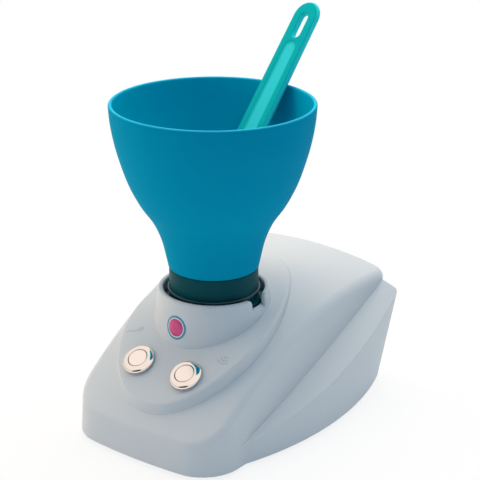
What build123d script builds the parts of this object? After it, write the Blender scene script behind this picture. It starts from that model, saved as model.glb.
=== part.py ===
from build123d import *
from math import cos, radians, sin, sqrt, tan
import os

# A bench mixer for dental impression paste: a wedge-shaped moulded housing, a rubber bowl
# that a belt-driven spindle turns, two push buttons and a mixing spatula that stands in the bowl.
# Millimetres. X is the width, +Y runs to the back, +Z is up. The spindle turns about the Z axis.
# Heights are measured from the housing's lower edge; every piece is lifted onto the feet on export.

# ---------------------------------------------------------------- housing
FRONT_Y = -88.0            # foremost point of the housing's lower edge
REAR_Y = 119.0             # rearmost point of the housing's lower edge
FRONT_CORNER = (60.5, -83.0)
REAR_CORNER = (75.0, 117.0)
FRONT_CORNER_RADIUS = 29.0
REAR_CORNER_RADIUS = 28.0  # at the lower edge
REAR_CORNER_HIGH_RADIUS = 5.0     # at the form's full height
WALL_LEAN = 3.5            # degrees that the front and side walls lean inwards; the rear is upright
FORM_HEIGHT = 110.0        # height to which the plan is drawn up before the top is cut
TOP_ARC = ((FRONT_Y, 20.5), (-5.0, 71.0), (REAR_Y, 87.0))   # (y, z) on the centre line
CROWN = 14.0               # drop of the top surface at the crown's edge
CROWN_HALF_WIDTH = 95.0
SKIN = 2.8                 # wall of the moulded housing
TOP_EDGE_RADIUS = 7.0
BEYOND = 400.0             # length of a cutter that passes right through the housing

# flank flare on each side
FLARE_LOW_ARC = ((58.0, -62.0), (81.0, 30.0), (69.5, 108.0))    # (x, y) at the lower edge
FLARE_HIGH_ARC = ((58.0, -62.0), (87.5, 33.0), (90.5, 108.0))   # (x, y) at the form's full height
FLARE_INNER_X = 52.0
FLARE_REAR_RADIUS = 4.5
FLARE_ROOT_X = 67.0        # where the flare's top meets the wall
FLARE_ROOT = ((-60.0, 12.7), (16.7, 37.3), (125.0, 84.0))
FLARE_SLOPE = 0.36         # fall of the flare's top per millimetre outwards
FLARE_EDGE_RADIUS = 3.0

# raised console round the collar and buttons
CONSOLE_ARC = ((-77.5, 36.5), (-41.5, 61.5), (68.0, 89.0))   # (y, z) on the centre line
CONSOLE_CROWN = 5.0        # its drop at the crown's edge
CONSOLE_FRONT_Y = -77.5
CONSOLE_REAR_Y = 72.0
CONSOLE_SIDE = (51.0, -22.0)
CONSOLE_BASE_Z = 15.0
CONSOLE_EDGE_RADIUS = 2.2

# collar and splash well round the bowl holder
COLLAR_TOP_Z = 91.5
COLLAR_BORE_R = 33.9
COLLAR_TOP_R = 37.4
COLLAR_FOOT_R = 42.0
COLLAR_FOOT_Z = 58.0
COLLAR_LIP_RADIUS = 1.5
WELL_FLOOR_Z = 76.0
WELL_FLOOR = 2.6
WELL_HOLE_R = 8.0
WELL_LIP_R = 10.0
WELL_LIP = 3.0
NOTCH_WIDTH = 14.0
NOTCH_FLOOR_Z = 82.0
NOTCH_CORNER = 3.0
NOTCH_SHOULDER = 3.0       # rounding where the notch meets the collar's rim

# ---------------------------------------------------------------- spindle and bowl holder
SHAFT_R = 6.0
SHAFT_BODY_R = 7.5
SHAFT_FOOT_Z = 6.5
SHAFT_TOP_Z = 82.5
CLIP_R = 8.5
CLIP_THICKNESS = 1.2
CLIP_GROOVE = 0.8
HOLDER_R = 29.9
HOLDER_WALL = 2.5
HOLDER_FOOT_Z = 80.5
HOLDER_TOP_Z = 106.4
HOLDER_FLOOR = 4.0
HOLDER_FLANGE_R = 33.0
HOLDER_FLANGE_Z = 84.0
HOLDER_FLANGE = 1.6
HOLDER_SKIRT_R = 14.5
HOLDER_SKIRT_WALL = 2.0
HOLDER_SKIRT = 3.0
BOLT_HEAD_R = 5.0
BOLT_HEAD = 2.6
BOLT_R = 2.5
BOLT_LENGTH = 12.0
BODY_GAP = 0.35            # gap between pieces that lift apart

# bowl: outer radius at heights, from the shoulder on the holder up to the rim
BOWL_PROFILE = ((30.3, 106.8), (31.6, 113.0), (34.7, 126.0), (40.2, 139.0), (48.2, 151.0),
                (54.8, 164.0), (60.2, 180.0), (64.0, 196.0), (65.8, 208.0), (66.3, 218.0))
BOWL_WALL = 2.6
BOWL_FLOOR_Z = 102.5
BOWL_FLOOR_EDGE = (23.5, 106.0)
BOWL_PLUG_FOOT_Z = 88.0
BOWL_RIM_RADIUS = 1.2

# spatula, standing in the bowl and leaning back over the rim
SPATULA_LENGTH = 192.4
SPATULA_LEAN = 34.4
SPATULA_HEADING = 75.0     # degrees from +X towards +Y that it leans
SPATULA_GRIP_ANGLE = 83.0  # degrees from +X towards +Y where it crosses the rim
SPATULA_GRIP_R = 57.65     # distance of its centre line from the spindle axis at the grip height
SPATULA_GRIP_Z = 216.0
SPATULA_ABOVE_GRIP = 62.8
HANDLE_TOP_WIDTH = 18.6
HANDLE_LOW_WIDTH = 21.0
HANDLE_THICKNESS = 4.4
HANDLE_CHANNEL = 1.2
HANDLE_EDGE = 3.0
BLADE_LENGTH = 84.0
BLADE_WIDTH = 28.0
BLADE_THICKNESS = 2.2
HANG_SLOT_LENGTH = 15.0
HANG_SLOT_WIDTH = 3.6
HANG_SLOT_FROM_END = 9.5

# ---------------------------------------------------------------- drive
SPINDLE_PULLEY_R = 22.0
MOTOR_PULLEY_R = 9.0
PULLEY_LOW_Z = 60.0
PULLEY_HEIGHT = 11.0
PULLEY_RIM = 1.5           # the two rims that keep the belt on
PULLEY_RIM_RISE = 1.5
PULLEY_WEB = 3.0
PULLEY_HUB_R = 10.0
PULLEY_SKIRT = 3.0
BELT_THICKNESS = 1.3
BELT_CLEARANCE = 0.12
BELT_SIDE_CLEARANCE = 0.4
MOTOR_Y = 66.0
MOTOR_R = 20.0
MOTOR_WALL = 1.5
MOTOR_FOOT_Z = 8.0
MOTOR_TOP_Z = 54.0
MOTOR_SHAFT_R = 3.0
MOTOR_BOSS_R = 6.0
MOTOR_BOSS = 2.0
MAGNET_WALL = 2.5
ARMATURE_GAP = 0.8
ARMATURE_LENGTH = 28.0
ARMATURE_SLOTS = 8
RUN_CLEARANCE = 0.05
BRACKET_THICKNESS = 2.5
BRACKET_WIDTH = 62.0
BRACKET_DEPTH = 36.0
BRACKET_TAB = 11.0
BEARING_OUTER_R = 14.0
BEARING_RACE = 2.4
BEARING_WIDTH = 8.0
LOWER_BEARING_Z = 10.0
UPPER_BEARING_Z = 46.0
TOWER_R = 18.0
TOWER_LEDGE_R = 12.2
TOWER_TOP_Z = 54.0
TOWER_FLANGE_R = 28.0
TOWER_FLANGE = 5.0
TOWER_BOLT_RING_R = 22.5
TOWER_RIB = 3.0

# ---------------------------------------------------------------- bottom plate and feet
PLATE_LOW_Z = 0.5
PLATE_THICKNESS = 2.5
PLATE_CLEARANCE = 0.4
FOOT_HEIGHT = 3.0          # housing edge above the surface that the feet stand on
FOOT_R = 8.0
FOOT_PLACES = ((44.0, -63.0), (56.0, 86.0))
SCREW_PLACES = ((47.0, -40.0), (62.0, 30.0), (40.0, 101.0))
BOSS_R = 4.2
SCREW_R = 1.5
SCREW_CLEARANCE = 0.05
SCREW_HEAD_R = 3.0
SCREW_HEAD = 1.4
SCREW_LENGTH = 14.0
VENT_COUNT = 7
VENT_WIDTH = 3.0
VENT_LENGTH = 34.0
VENT_PITCH = 7.0
VENT_Y = -54.0

# ---------------------------------------------------------------- push buttons
BUTTON_X = 19.3
BUTTON_SEAT = (-57.4, 52.8)   # (y, z) of the face that the button heads sit on
BUTTON_TILT = 30.6
BUTTON_HEAD_R = 11.0
BUTTON_HEAD = 2.6
BUTTON_BEVEL = 1.4
BUTTON_BARREL_R = 9.3
BUTTON_BARREL = 17.0
BUTTON_HOLE_R = 9.5
BUTTON_SEAT_R = 11.6
BUTTON_CAP_R = 7.3
BUTTON_CAP_GAP = 0.3
BUTTON_CAP_PROUD = 0.3
BUTTON_CAP = 5.2
BUTTON_BORE = 6.0
BUTTON_TRAVEL = 1.6
BUTTON_NUT_R = 12.4
BUTTON_NUT = 3.0
NUT_DEPTH = 4.6            # from the button's seat down to the nut
STEM_R = 2.5
STEM = 5.0
STEM_BORE = 13.0
CONTACT_R = 8.2
CONTACT = 6.0
TERMINAL_SIZE = (2.8, 0.8, 6.0)
TERMINAL_RING_R = 5.0

# ---------------------------------------------------------------- mains inlet, switch and board
PANEL_Y = 111.5
PANEL_SIZE = (92.0, 34.0)
PANEL_Z = 30.0
PANEL_PAD = 2.6
PANEL_CORNER = 4.0
INLET_X = -18.0
INLET_BODY = (27.4, 19.8)
INLET_FLANGE = (48.0, 24.0)
INLET_FLANGE_THICKNESS = 2.4
INLET_CAVITY = (24.2, 16.6)
INLET_CAVITY_DEPTH = 17.0
INLET_DEPTH = 20.0
INLET_SCREW_SPACING = 40.0
INLET_CUT_CLEARANCE = 0.1
PIN_SIZE = (2.0, 4.0)
PIN_LENGTH = 12.0
PIN_SPACING = 7.0
PIN_RISE = 2.0
SWITCH_X = 29.0
SWITCH_CUT = (12.8, 19.2)
SWITCH_FRAME = (16.0, 23.0)
SWITCH_FRAME_THICKNESS = 2.0
SWITCH_DEPTH = 16.0
SWITCH_OPENING = (9.8, 16.4)
ROCKER_GAP = 0.35
ROCKER_SWING = 18.0
ROCKER_PIN_R = 1.2
ROCKER_PIN = 0.9
BOARD_CENTRE = (-43.5, 0.0)
BOARD_SIZE = (24.0, 60.0)
BOARD_THICKNESS = 1.6
BOARD_Z = 12.0
POST_R = 2.6
POST_INSET = 4.0


# ================================================================ small helpers
def upright(radius, low, high, x=0.0, y=0.0):
    """A cylinder standing on z = low."""
    return Pos(x, y, (low + high) / 2) * Cylinder(radius, high - low)


def tube(outer, inner, low, high, x=0.0, y=0.0):
    """A ring standing on z = low."""
    return upright(outer, low, high, x, y) - upright(inner, low - 1, high + 1, x, y)


def block(size_x, size_y, low, high, x=0.0, y=0.0):
    """A box standing on z = low."""
    return Pos(x, y, (low + high) / 2) * Box(size_x, size_y, high - low)


def both_sides(shape):
    """The shape and its mirror image across the centre plane."""
    return [shape, mirror(shape, about=Plane.YZ)]


# ================================================================ housing forms
def housing_plan(sides, rear, rear_radius):
    """The housing's outline, its front and flanks drawn in by one amount, its rear by another."""
    fx, fy = FRONT_CORNER[0] - sides, FRONT_CORNER[1] + sides
    rx, ry = REAR_CORNER[0] - sides, REAR_CORNER[1] - rear
    front = ThreePointArc((-fx, fy), (0, FRONT_Y + sides), (fx, fy))
    back = ThreePointArc((rx, ry), (0, REAR_Y - rear), (-rx, ry))
    plan = make_face([front, Line((fx, fy), (rx, ry)), back, Line((-rx, ry), (-fx, fy))])
    plan = fillet(plan.vertices().group_by(Axis.Y)[0], FRONT_CORNER_RADIUS - sides)
    return fillet(plan.vertices().group_by(Axis.Y)[-1], rear_radius)


def leaning_block(inset):
    """The plan drawn up with front and side walls that lean inwards."""
    lean = FORM_HEIGHT * tan(radians(WALL_LEAN))
    low = housing_plan(inset, inset, REAR_CORNER_RADIUS - inset)
    high = housing_plan(inset + lean, inset, REAR_CORNER_HIGH_RADIUS - inset)
    return loft([(Pos(0, 0, -inset) * low).face(), (Pos(0, 0, FORM_HEIGHT) * high).face()], ruled=True)


def under_arc(points, crown, rise):
    """Everything below a crowned surface whose centre line is an arc through three (y, z) points."""
    def section(x, drop):
        plane = Plane(origin=(x, 0, 0), x_dir=(0, 1, 0), z_dir=(1, 0, 0))
        arc = ThreePointArc(*[(y, z + rise - drop) for y, z in points])
        nose = Line(arc @ 0, arc @ 0 - (arc % 0) * 40)
        tail = Line(arc @ 1, arc @ 1 + (arc % 1) * 40)
        down = Polyline(tail @ 1, ((tail @ 1).X, -60), ((nose @ 1).X, -60), nose @ 1)
        return (plane * make_face([nose, arc, tail, down])).face()
    return loft([section(-CROWN_HALF_WIDTH, crown), section(0, 0), section(CROWN_HALF_WIDTH, crown)])


def flare_plan(points, inset):
    """The right-hand flare's outline at one height, through an arc of three (x, y) points."""
    start, middle, end = points
    start = start[0] - inset, start[1] + inset
    end = end[0] - inset, end[1] - inset
    arc = ThreePointArc(start, (middle[0] - inset, middle[1]), end)
    inside = Polyline(end, (FLARE_INNER_X, end[1]), (FLARE_INNER_X, start[1]), start)
    plan = make_face([arc, inside])
    corner = plan.vertices().group_by(Axis.Y)[-1].sort_by(Axis.X)[-1]
    return fillet([corner], FLARE_REAR_RADIUS - inset).face()


def flare(inset):
    """The right-hand flank flare: walls that lean out more towards the rear, under a sloping top."""
    low = flare_plan(FLARE_LOW_ARC, inset)
    high = Pos(0, 0, FORM_HEIGHT) * flare_plan(FLARE_HIGH_ARC, inset)
    walls = loft([low, high.face()], ruled=True)
    plane = Plane(origin=(FLARE_ROOT_X, 0, 0), x_dir=(0, 1, 0), z_dir=(1, 0, 0))
    root = ThreePointArc(*FLARE_ROOT)
    sides = Polyline(root @ 1, (FLARE_ROOT[2][0], -80), (FLARE_ROOT[0][0], -80), root @ 0)
    profile = (plane * make_face([root, sides])).face()
    roof = extrude(profile, amount=40, dir=(1, 0, -FLARE_SLOPE))
    roof += extrude(profile, amount=50, dir=(-1, 0, 0))
    return Pos(0, 0, -inset) * (walls & roof)


def main_form(inset):
    """The housing without its console and collar."""
    form = leaning_block(inset) & under_arc(TOP_ARC, CROWN, -inset)
    for side in both_sides(flare(inset)):
        form += side
    return form


def console(inset):
    """The raised egg-shaped plateau round the collar and the buttons."""
    side_x, side_y = CONSOLE_SIDE
    front = (0, CONSOLE_FRONT_Y + inset)
    rear = (0, CONSOLE_REAR_Y - inset)
    ends = ((1, 0), (-1, 0))
    edge = Spline(front, (side_x - inset, side_y), rear, tangents=ends, tangent_scalars=(1.1, 0.6))
    plan = make_face([edge, mirror(edge, about=Plane.YZ)]).face()
    column = Pos(0, 0, CONSOLE_BASE_Z) * extrude(plan, amount=FORM_HEIGHT)
    return column & under_arc(CONSOLE_ARC, CONSOLE_CROWN, -inset)


def collar_cone(inset, top_z):
    """The solid cone that the collar's outside is cut from."""
    slope = (COLLAR_FOOT_R - COLLAR_TOP_R) / (COLLAR_TOP_Z - COLLAR_FOOT_Z)
    top_r = COLLAR_TOP_R + slope * (COLLAR_TOP_Z - top_z) - inset
    foot_r = COLLAR_FOOT_R - inset
    return Pos(0, 0, (COLLAR_FOOT_Z + top_z) / 2) * Cone(foot_r, top_r, top_z - COLLAR_FOOT_Z)


def panel_plane():
    """The rear panel's face: local x to the right as the panel is faced, local z outwards."""
    return Plane(origin=(0, PANEL_Y, PANEL_Z), x_dir=(-1, 0, 0), z_dir=(0, 1, 0))


def on_panel(x, shape, rise=0.0):
    """A shape drawn on z = 0 with z outwards, set on the rear panel at the given X."""
    return panel_plane() * Pos(-x, rise, 0) * shape


def button_place(side):
    """Local frame of a button: z along its outward axis, origin on the seat."""
    y, z = BUTTON_SEAT
    return Pos(side * BUTTON_X, y, z) * Rot(BUTTON_TILT, 0, 0)


def boss_places():
    """All the housing bosses, both sides."""
    return [(side * x, y) for x, y in SCREW_PLACES for side in (1, -1)]


# ================================================================ housing
def upper_housing():
    """The moulded housing: skin, console, collar with its splash well, bosses and rear panel."""
    outer = main_form(0)
    top = outer.faces().filter_by(GeomType.BSPLINE).sort_by(SortBy.AREA)[-1]
    outer = fillet(top.outer_wire().edges(), TOP_EDGE_RADIUS)
    plateau = console(0)
    plateau = fillet(plateau.faces().sort_by(Axis.Z)[-1].outer_wire().edges(), CONSOLE_EDGE_RADIUS)
    outer += plateau
    outer += collar_cone(0, COLLAR_TOP_Z)
    bosses = [upright(BOSS_R, PLATE_LOW_Z + PLATE_THICKNESS, FORM_HEIGHT, x, y) for x, y in boss_places()]
    bosses = Part() + bosses
    inner = main_form(SKIN) + console(SKIN)
    inner += collar_cone(SKIN, WELL_FLOOR_Z - WELL_FLOOR)
    inner -= tube(COLLAR_BORE_R + SKIN, COLLAR_BORE_R, WELL_FLOOR_Z - WELL_FLOOR, FORM_HEIGHT)
    inner -= upright(COLLAR_BORE_R + 1, WELL_FLOOR_Z - WELL_FLOOR, FORM_HEIGHT)
    inner -= bosses
    pad_size = PANEL_SIZE[0] + 2 * PANEL_PAD, PANEL_SIZE[1] + 2 * PANEL_PAD
    inner -= on_panel(0, Pos(0, 0, -PANEL_PAD + 10) * Box(*pad_size, 20))
    shell = outer - inner
    recess = extrude(RectangleRounded(*PANEL_SIZE, PANEL_CORNER), amount=20)
    shell -= on_panel(0, recess)
    shell -= upright(COLLAR_BORE_R, WELL_FLOOR_Z, FORM_HEIGHT)
    shell += upright(WELL_LIP_R, WELL_FLOOR_Z - WELL_FLOOR, WELL_FLOOR_Z + WELL_LIP)
    shell -= upright(WELL_HOLE_R, WELL_FLOOR_Z - 10, WELL_FLOOR_Z + 10)
    notch_top = FORM_HEIGHT
    notch = Box(COLLAR_FOOT_R, NOTCH_WIDTH, notch_top - NOTCH_FLOOR_Z)
    notch = fillet(notch.edges().filter_by(Axis.X).group_by(Axis.Z)[0], NOTCH_CORNER)
    shell -= Pos(COLLAR_BORE_R - 4 + COLLAR_FOOT_R / 2, 0, (notch_top + NOTCH_FLOOR_Z) / 2) * notch
    cut = INLET_CUT_CLEARANCE * 2
    shell -= on_panel(INLET_X, Box(INLET_BODY[0] + cut, INLET_BODY[1] + cut, 20))
    for side in (1, -1):
        shell -= on_panel(INLET_X + side * INLET_SCREW_SPACING / 2, Cylinder(SCREW_R + SCREW_CLEARANCE, 20))
    shell -= on_panel(SWITCH_X, Box(SWITCH_CUT[0] + cut, SWITCH_CUT[1] + cut, 20))
    for side in (1, -1):
        shell -= button_place(side) * Cylinder(BUTTON_HOLE_R, 30)
        shell -= button_place(side) * Pos(0, 0, 5) * Cylinder(BUTTON_SEAT_R, 10)
    hole_top = PLATE_LOW_Z + SCREW_LENGTH + 1
    for x, y in boss_places():
        shell -= upright(SCREW_R + SCREW_CLEARANCE, 0, hole_top, x, y)
    return soften_collar(shell)


def soften_collar(shell):
    """Rounds the notch's shoulders and the collar's lip."""
    rim = shell.edges().filter_by_position(Axis.Z, COLLAR_TOP_Z - 0.1, COLLAR_TOP_Z + 0.1)
    shell = fillet(rim.filter_by(GeomType.LINE), NOTCH_SHOULDER)
    rim = shell.edges().filter_by_position(Axis.Z, COLLAR_TOP_Z - 0.1, COLLAR_TOP_Z + 0.1)
    return fillet(rim.filter_by(GeomType.CIRCLE), COLLAR_LIP_RADIUS)


def bottom_plate():
    """Flat plate that closes the housing from below."""
    plate = main_form(SKIN + PLATE_CLEARANCE)
    plate &= block(BEYOND, BEYOND, PLATE_LOW_Z, PLATE_LOW_Z + PLATE_THICKNESS)
    for x, y in boss_places():
        plate -= upright(SCREW_R + SCREW_CLEARANCE, 0, 10, x, y)
        plate -= upright(SCREW_HEAD_R + SCREW_CLEARANCE, -1, PLATE_LOW_Z + SCREW_HEAD, x, y)
    for x, y in tower_bolts() + bracket_bolts():
        plate -= upright(SCREW_R + SCREW_CLEARANCE, 0, 10, x, y)
    for index in range(VENT_COUNT):
        x = (index - (VENT_COUNT - 1) / 2) * VENT_PITCH
        slot = SlotOverall(VENT_LENGTH, VENT_WIDTH, rotation=90)
        plate -= Pos(x, VENT_Y, -1) * extrude(slot, amount=10)
    return plate


def rubber_feet():
    """Four feet under the bottom plate."""
    feet = []
    for x, y in FOOT_PLACES:
        foot = Pos(x, y, -FOOT_HEIGHT) * extrude(Circle(FOOT_R), amount=FOOT_HEIGHT + PLATE_LOW_Z)
        foot = chamfer(foot.edges().group_by(Axis.Z)[0], 1.0)
        feet += both_sides(foot)
    return Part() + feet


def screw(low, length, x, y):
    """A screw driven upwards with its head's lower face at z = low."""
    head = upright(SCREW_HEAD_R, low, low + SCREW_HEAD, x, y)
    head -= Pos(x, y, low) * Box(0.8, 3.6, 1.2)
    return head + upright(SCREW_R, low, low + length, x, y)


def screw_down(top, length, x, y):
    """A screw driven downwards with its head's upper face at z = top."""
    head = upright(SCREW_HEAD_R, top - SCREW_HEAD, top, x, y)
    head -= Pos(x, y, top) * Box(0.8, 3.6, 1.2)
    return head + upright(SCREW_R, top - length, top - SCREW_HEAD, x, y)


def housing_screws():
    """The screws that hold the bottom plate to the housing bosses."""
    return Part() + [screw(PLATE_LOW_Z, SCREW_LENGTH, x, y) for x, y in boss_places()]


# ================================================================ spindle
def tower_bolts():
    """Centres of the bearing tower's screws."""
    angles = [radians(45 + 90 * i) for i in range(4)]
    return [(TOWER_BOLT_RING_R * cos(a), TOWER_BOLT_RING_R * sin(a)) for a in angles]


def bearing_tower():
    """Cast tower on the bottom plate that holds both spindle bearings."""
    foot = PLATE_LOW_Z + PLATE_THICKNESS
    tower = upright(TOWER_FLANGE_R, foot, foot + TOWER_FLANGE)
    tower += upright(TOWER_R, foot, TOWER_TOP_Z)
    span = TOWER_FLANGE_R - TOWER_R
    rise = TOWER_TOP_Z * 0.6
    rib = make_face(Polyline((TOWER_R - 1, foot), (TOWER_FLANGE_R - 1, foot), (TOWER_FLANGE_R - 1, foot + 6),
                             (TOWER_R - 1, rise), (TOWER_R - 1, foot)))
    rib = extrude(Plane.XZ * rib, amount=TOWER_RIB / 2, both=True)
    tower += [Rot(0, 0, 90 * i) * rib for i in range(4)]
    tower -= upright(TOWER_LEDGE_R, 0, TOWER_TOP_Z + 1)
    tower -= upright(BEARING_OUTER_R, 0, LOWER_BEARING_Z + BEARING_WIDTH)
    tower -= upright(BEARING_OUTER_R, UPPER_BEARING_Z, TOWER_TOP_Z + 1)
    for x, y in tower_bolts():
        tower -= upright(SCREW_R + SCREW_CLEARANCE, 0, TOWER_TOP_Z, x, y)
    return tower


def tower_screws():
    """The screws through the tower's flange into the bottom plate."""
    top = PLATE_LOW_Z + PLATE_THICKNESS + TOWER_FLANGE + SCREW_HEAD
    return Part() + [screw_down(top, top - PLATE_LOW_Z, x, y) for x, y in tower_bolts()]


def outer_race(low):
    """Outer ring of a sealed ball bearing with its two shields."""
    gap = BEARING_OUTER_R - SHAFT_R - 2 * BEARING_RACE
    ring = tube(BEARING_OUTER_R, BEARING_OUTER_R - BEARING_RACE, low, low + BEARING_WIDTH)
    shield_r = SHAFT_R + BEARING_RACE + RUN_CLEARANCE
    for z in (low + 0.4, low + BEARING_WIDTH - 1.2):
        ring += tube(BEARING_OUTER_R - gap / 4, shield_r, z, z + 0.8)
    return ring


def inner_race(low):
    """Inner ring of a sealed ball bearing."""
    return tube(SHAFT_R + BEARING_RACE, SHAFT_R, low, low + BEARING_WIDTH)


def spindle_shaft():
    """Stepped shaft that carries the pulley and the bowl holder."""
    shaft = upright(SHAFT_R, SHAFT_FOOT_Z, SHAFT_TOP_Z)
    shaft += upright(SHAFT_BODY_R, LOWER_BEARING_Z + BEARING_WIDTH, UPPER_BEARING_Z)
    groove_z = LOWER_BEARING_Z - CLIP_THICKNESS
    shaft -= tube(SHAFT_R + 1, SHAFT_R - CLIP_GROOVE, groove_z, LOWER_BEARING_Z)
    shaft -= upright(BOLT_R, SHAFT_TOP_Z - BOLT_LENGTH, SHAFT_TOP_Z + 1)
    return chamfer(shaft.edges().group_by(Axis.Z)[0], 0.6)


def retaining_clip():
    """Snap ring below the lower bearing."""
    groove_z = LOWER_BEARING_Z - CLIP_THICKNESS
    ring = tube(CLIP_R, SHAFT_R - CLIP_GROOVE, groove_z, LOWER_BEARING_Z)
    return ring - Pos(0, CLIP_R, groove_z) * Box(4, 2 * (CLIP_R - 5.5), 10)


def pulley(radius, bore, hub_r):
    """Flat-belt pulley with two rims and a thin web, foot on z = 0."""
    wheel = upright(radius + PULLEY_RIM_RISE, 0, PULLEY_HEIGHT)
    wheel -= tube(radius + 5, radius, PULLEY_RIM, PULLEY_HEIGHT - PULLEY_RIM)
    if radius - PULLEY_SKIRT > hub_r + 1:
        low = (PULLEY_HEIGHT - PULLEY_WEB) / 2
        wheel -= tube(radius - PULLEY_SKIRT, hub_r, -1, low)
        wheel -= tube(radius - PULLEY_SKIRT, hub_r, low + PULLEY_WEB, PULLEY_HEIGHT + 1)
    return wheel - upright(bore, -1, PULLEY_HEIGHT + 1)


def spindle_pulley():
    """Large pulley on the spindle."""
    wheel = Pos(0, 0, PULLEY_LOW_Z) * pulley(SPINDLE_PULLEY_R, SHAFT_R, PULLEY_HUB_R)
    mid = (SPINDLE_PULLEY_R - PULLEY_SKIRT + PULLEY_HUB_R) / 2
    for index in range(5):
        angle = radians(72 * index)
        wheel -= upright(3.2, PULLEY_LOW_Z, PULLEY_LOW_Z + PULLEY_HEIGHT, mid * cos(angle), mid * sin(angle))
    return wheel


def bowl_holder():
    """Cup on top of the spindle that the bowl's foot sits in."""
    cup = upright(HOLDER_R, HOLDER_FOOT_Z, HOLDER_TOP_Z)
    cup = fillet(cup.edges().group_by(Axis.Z)[-1], 1.0)
    cup += upright(HOLDER_FLANGE_R, HOLDER_FLANGE_Z, HOLDER_FLANGE_Z + HOLDER_FLANGE)
    cup -= upright(HOLDER_R - HOLDER_WALL, HOLDER_FOOT_Z + HOLDER_FLOOR, HOLDER_TOP_Z + 1)
    skirt_low = HOLDER_FOOT_Z - HOLDER_SKIRT
    cup += tube(HOLDER_SKIRT_R, HOLDER_SKIRT_R - HOLDER_SKIRT_WALL, skirt_low, HOLDER_FOOT_Z)
    cup -= upright(SHAFT_R, 0, SHAFT_TOP_Z)
    return cup - upright(BOLT_R, 0, HOLDER_TOP_Z)


def holder_bolt():
    """Socket-head bolt that fixes the holder to the shaft."""
    seat = HOLDER_FOOT_Z + HOLDER_FLOOR
    bolt = upright(BOLT_HEAD_R, seat, seat + BOLT_HEAD)
    bolt -= Pos(0, 0, seat + BOLT_HEAD) * extrude(RegularPolygon(2.2, 6), amount=-1.6)
    return bolt + upright(BOLT_R, SHAFT_TOP_Z - BOLT_LENGTH + 1, seat)


# ================================================================ bowl and spatula
def mixing_bowl():
    """Soft bowl: a plug that drops into the holder, and a thin flared cup above it."""
    outer = Spline(*BOWL_PROFILE, tangents=((0.25, 1), (0.02, 1)))
    rim_r, rim_z = BOWL_PROFILE[-1]
    inner = Spline((rim_r - BOWL_WALL, rim_z), (BOWL_PROFILE[7][0] - BOWL_WALL, BOWL_PROFILE[7][1]),
                   (BOWL_PROFILE[5][0] - BOWL_WALL - 0.4, BOWL_PROFILE[5][1]),
                   (BOWL_PROFILE[3][0] - BOWL_WALL - 0.8, BOWL_PROFILE[3][1]),
                   (BOWL_PROFILE[1][0] - BOWL_WALL - 0.8, BOWL_PROFILE[1][1]),
                   BOWL_FLOOR_EDGE, (0, BOWL_FLOOR_Z), tangents=((-0.02, -1), (-1, 0)))
    plug_r = HOLDER_R - HOLDER_WALL - BODY_GAP
    foot_r, foot_z = BOWL_PROFILE[0]
    plug = Polyline((0, BOWL_FLOOR_Z), (0, BOWL_PLUG_FOOT_Z), (plug_r - 2, BOWL_PLUG_FOOT_Z),
                    (plug_r, BOWL_PLUG_FOOT_Z + 2), (plug_r, foot_z), (foot_r, foot_z))
    lip = Line(outer @ 1, inner @ 0)
    bowl = revolve(Plane.XZ * make_face([plug, outer, lip, inner]), axis=Axis.Z)
    rim = [e for e in bowl.edges() if e.center().Z > rim_z - 0.1 and e.geom_type == GeomType.CIRCLE]
    return fillet(rim, BOWL_RIM_RADIUS)


def spatula_place():
    """Local frame of the spatula: z along it from the blade's tip, x across, y through it."""
    heading = radians(SPATULA_HEADING)
    lean = radians(SPATULA_LEAN)
    axis = Vector(sin(lean) * cos(heading), sin(lean) * sin(heading), cos(lean))
    angle = radians(SPATULA_GRIP_ANGLE)
    grip = Vector(SPATULA_GRIP_R * cos(angle), SPATULA_GRIP_R * sin(angle), SPATULA_GRIP_Z)
    tip = grip - axis * (SPATULA_LENGTH - SPATULA_ABOVE_GRIP)
    across = Vector(sin(heading), -cos(heading), 0)
    return Plane(origin=tip, x_dir=across, z_dir=axis)


def spatula():
    """One-piece mixing spatula: thin round-ended blade and a channelled handle with a hanging slot."""
    tip_r = BLADE_WIDTH / 2
    length = SPATULA_LENGTH
    neck = BLADE_LENGTH + 16
    right = Spline((tip_r, tip_r + 4), (tip_r, BLADE_LENGTH - 22), (HANDLE_LOW_WIDTH / 2, neck),
                   tangents=((0, 1), (-0.02, 1)))
    left = mirror(right, about=Plane.YZ)
    end = ThreePointArc((tip_r, tip_r + 4), (0, 0), (-tip_r, tip_r + 4))
    low = HANDLE_LOW_WIDTH / 2
    high = HANDLE_TOP_WIDTH / 2
    blade_plan = make_face([end, right, left, Line((low, neck), (-low, neck))])
    blade = extrude(Plane.XZ * blade_plan, amount=BLADE_THICKNESS / 2, both=True)
    overlap = neck - 26
    handle_plan = make_face(Polyline((-low, overlap), (low, overlap), (high, length - high), (-high, length - high),
                                     (-low, overlap)))
    handle_plan += Pos(0, length - high) * Circle(high)
    handle = extrude(Plane.XZ * handle_plan, amount=HANDLE_THICKNESS / 2, both=True)
    strip = make_face(Polyline((-low + HANDLE_EDGE, overlap + 6), (low - HANDLE_EDGE, overlap + 6),
                               (high - HANDLE_EDGE, length - high), (-high + HANDLE_EDGE, length - high),
                               (-low + HANDLE_EDGE, overlap + 6)))
    strip += Pos(0, length - high) * Circle(high - HANDLE_EDGE)
    channel = extrude(Plane.XZ * strip, amount=HANDLE_CHANNEL)
    for side in (1, -1):
        face_y = side * HANDLE_THICKNESS / 2
        handle -= Pos(0, face_y - (HANDLE_CHANNEL if side > 0 else 0) + HANDLE_CHANNEL, 0) * channel
    slot = Pos(0, length - HANG_SLOT_FROM_END - HANG_SLOT_LENGTH / 2)
    slot *= SlotOverall(HANG_SLOT_LENGTH, HANG_SLOT_WIDTH, rotation=90)
    handle -= extrude(Plane.XZ * slot, amount=HANDLE_THICKNESS, both=True)
    return spatula_place() * (blade + handle)


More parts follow.
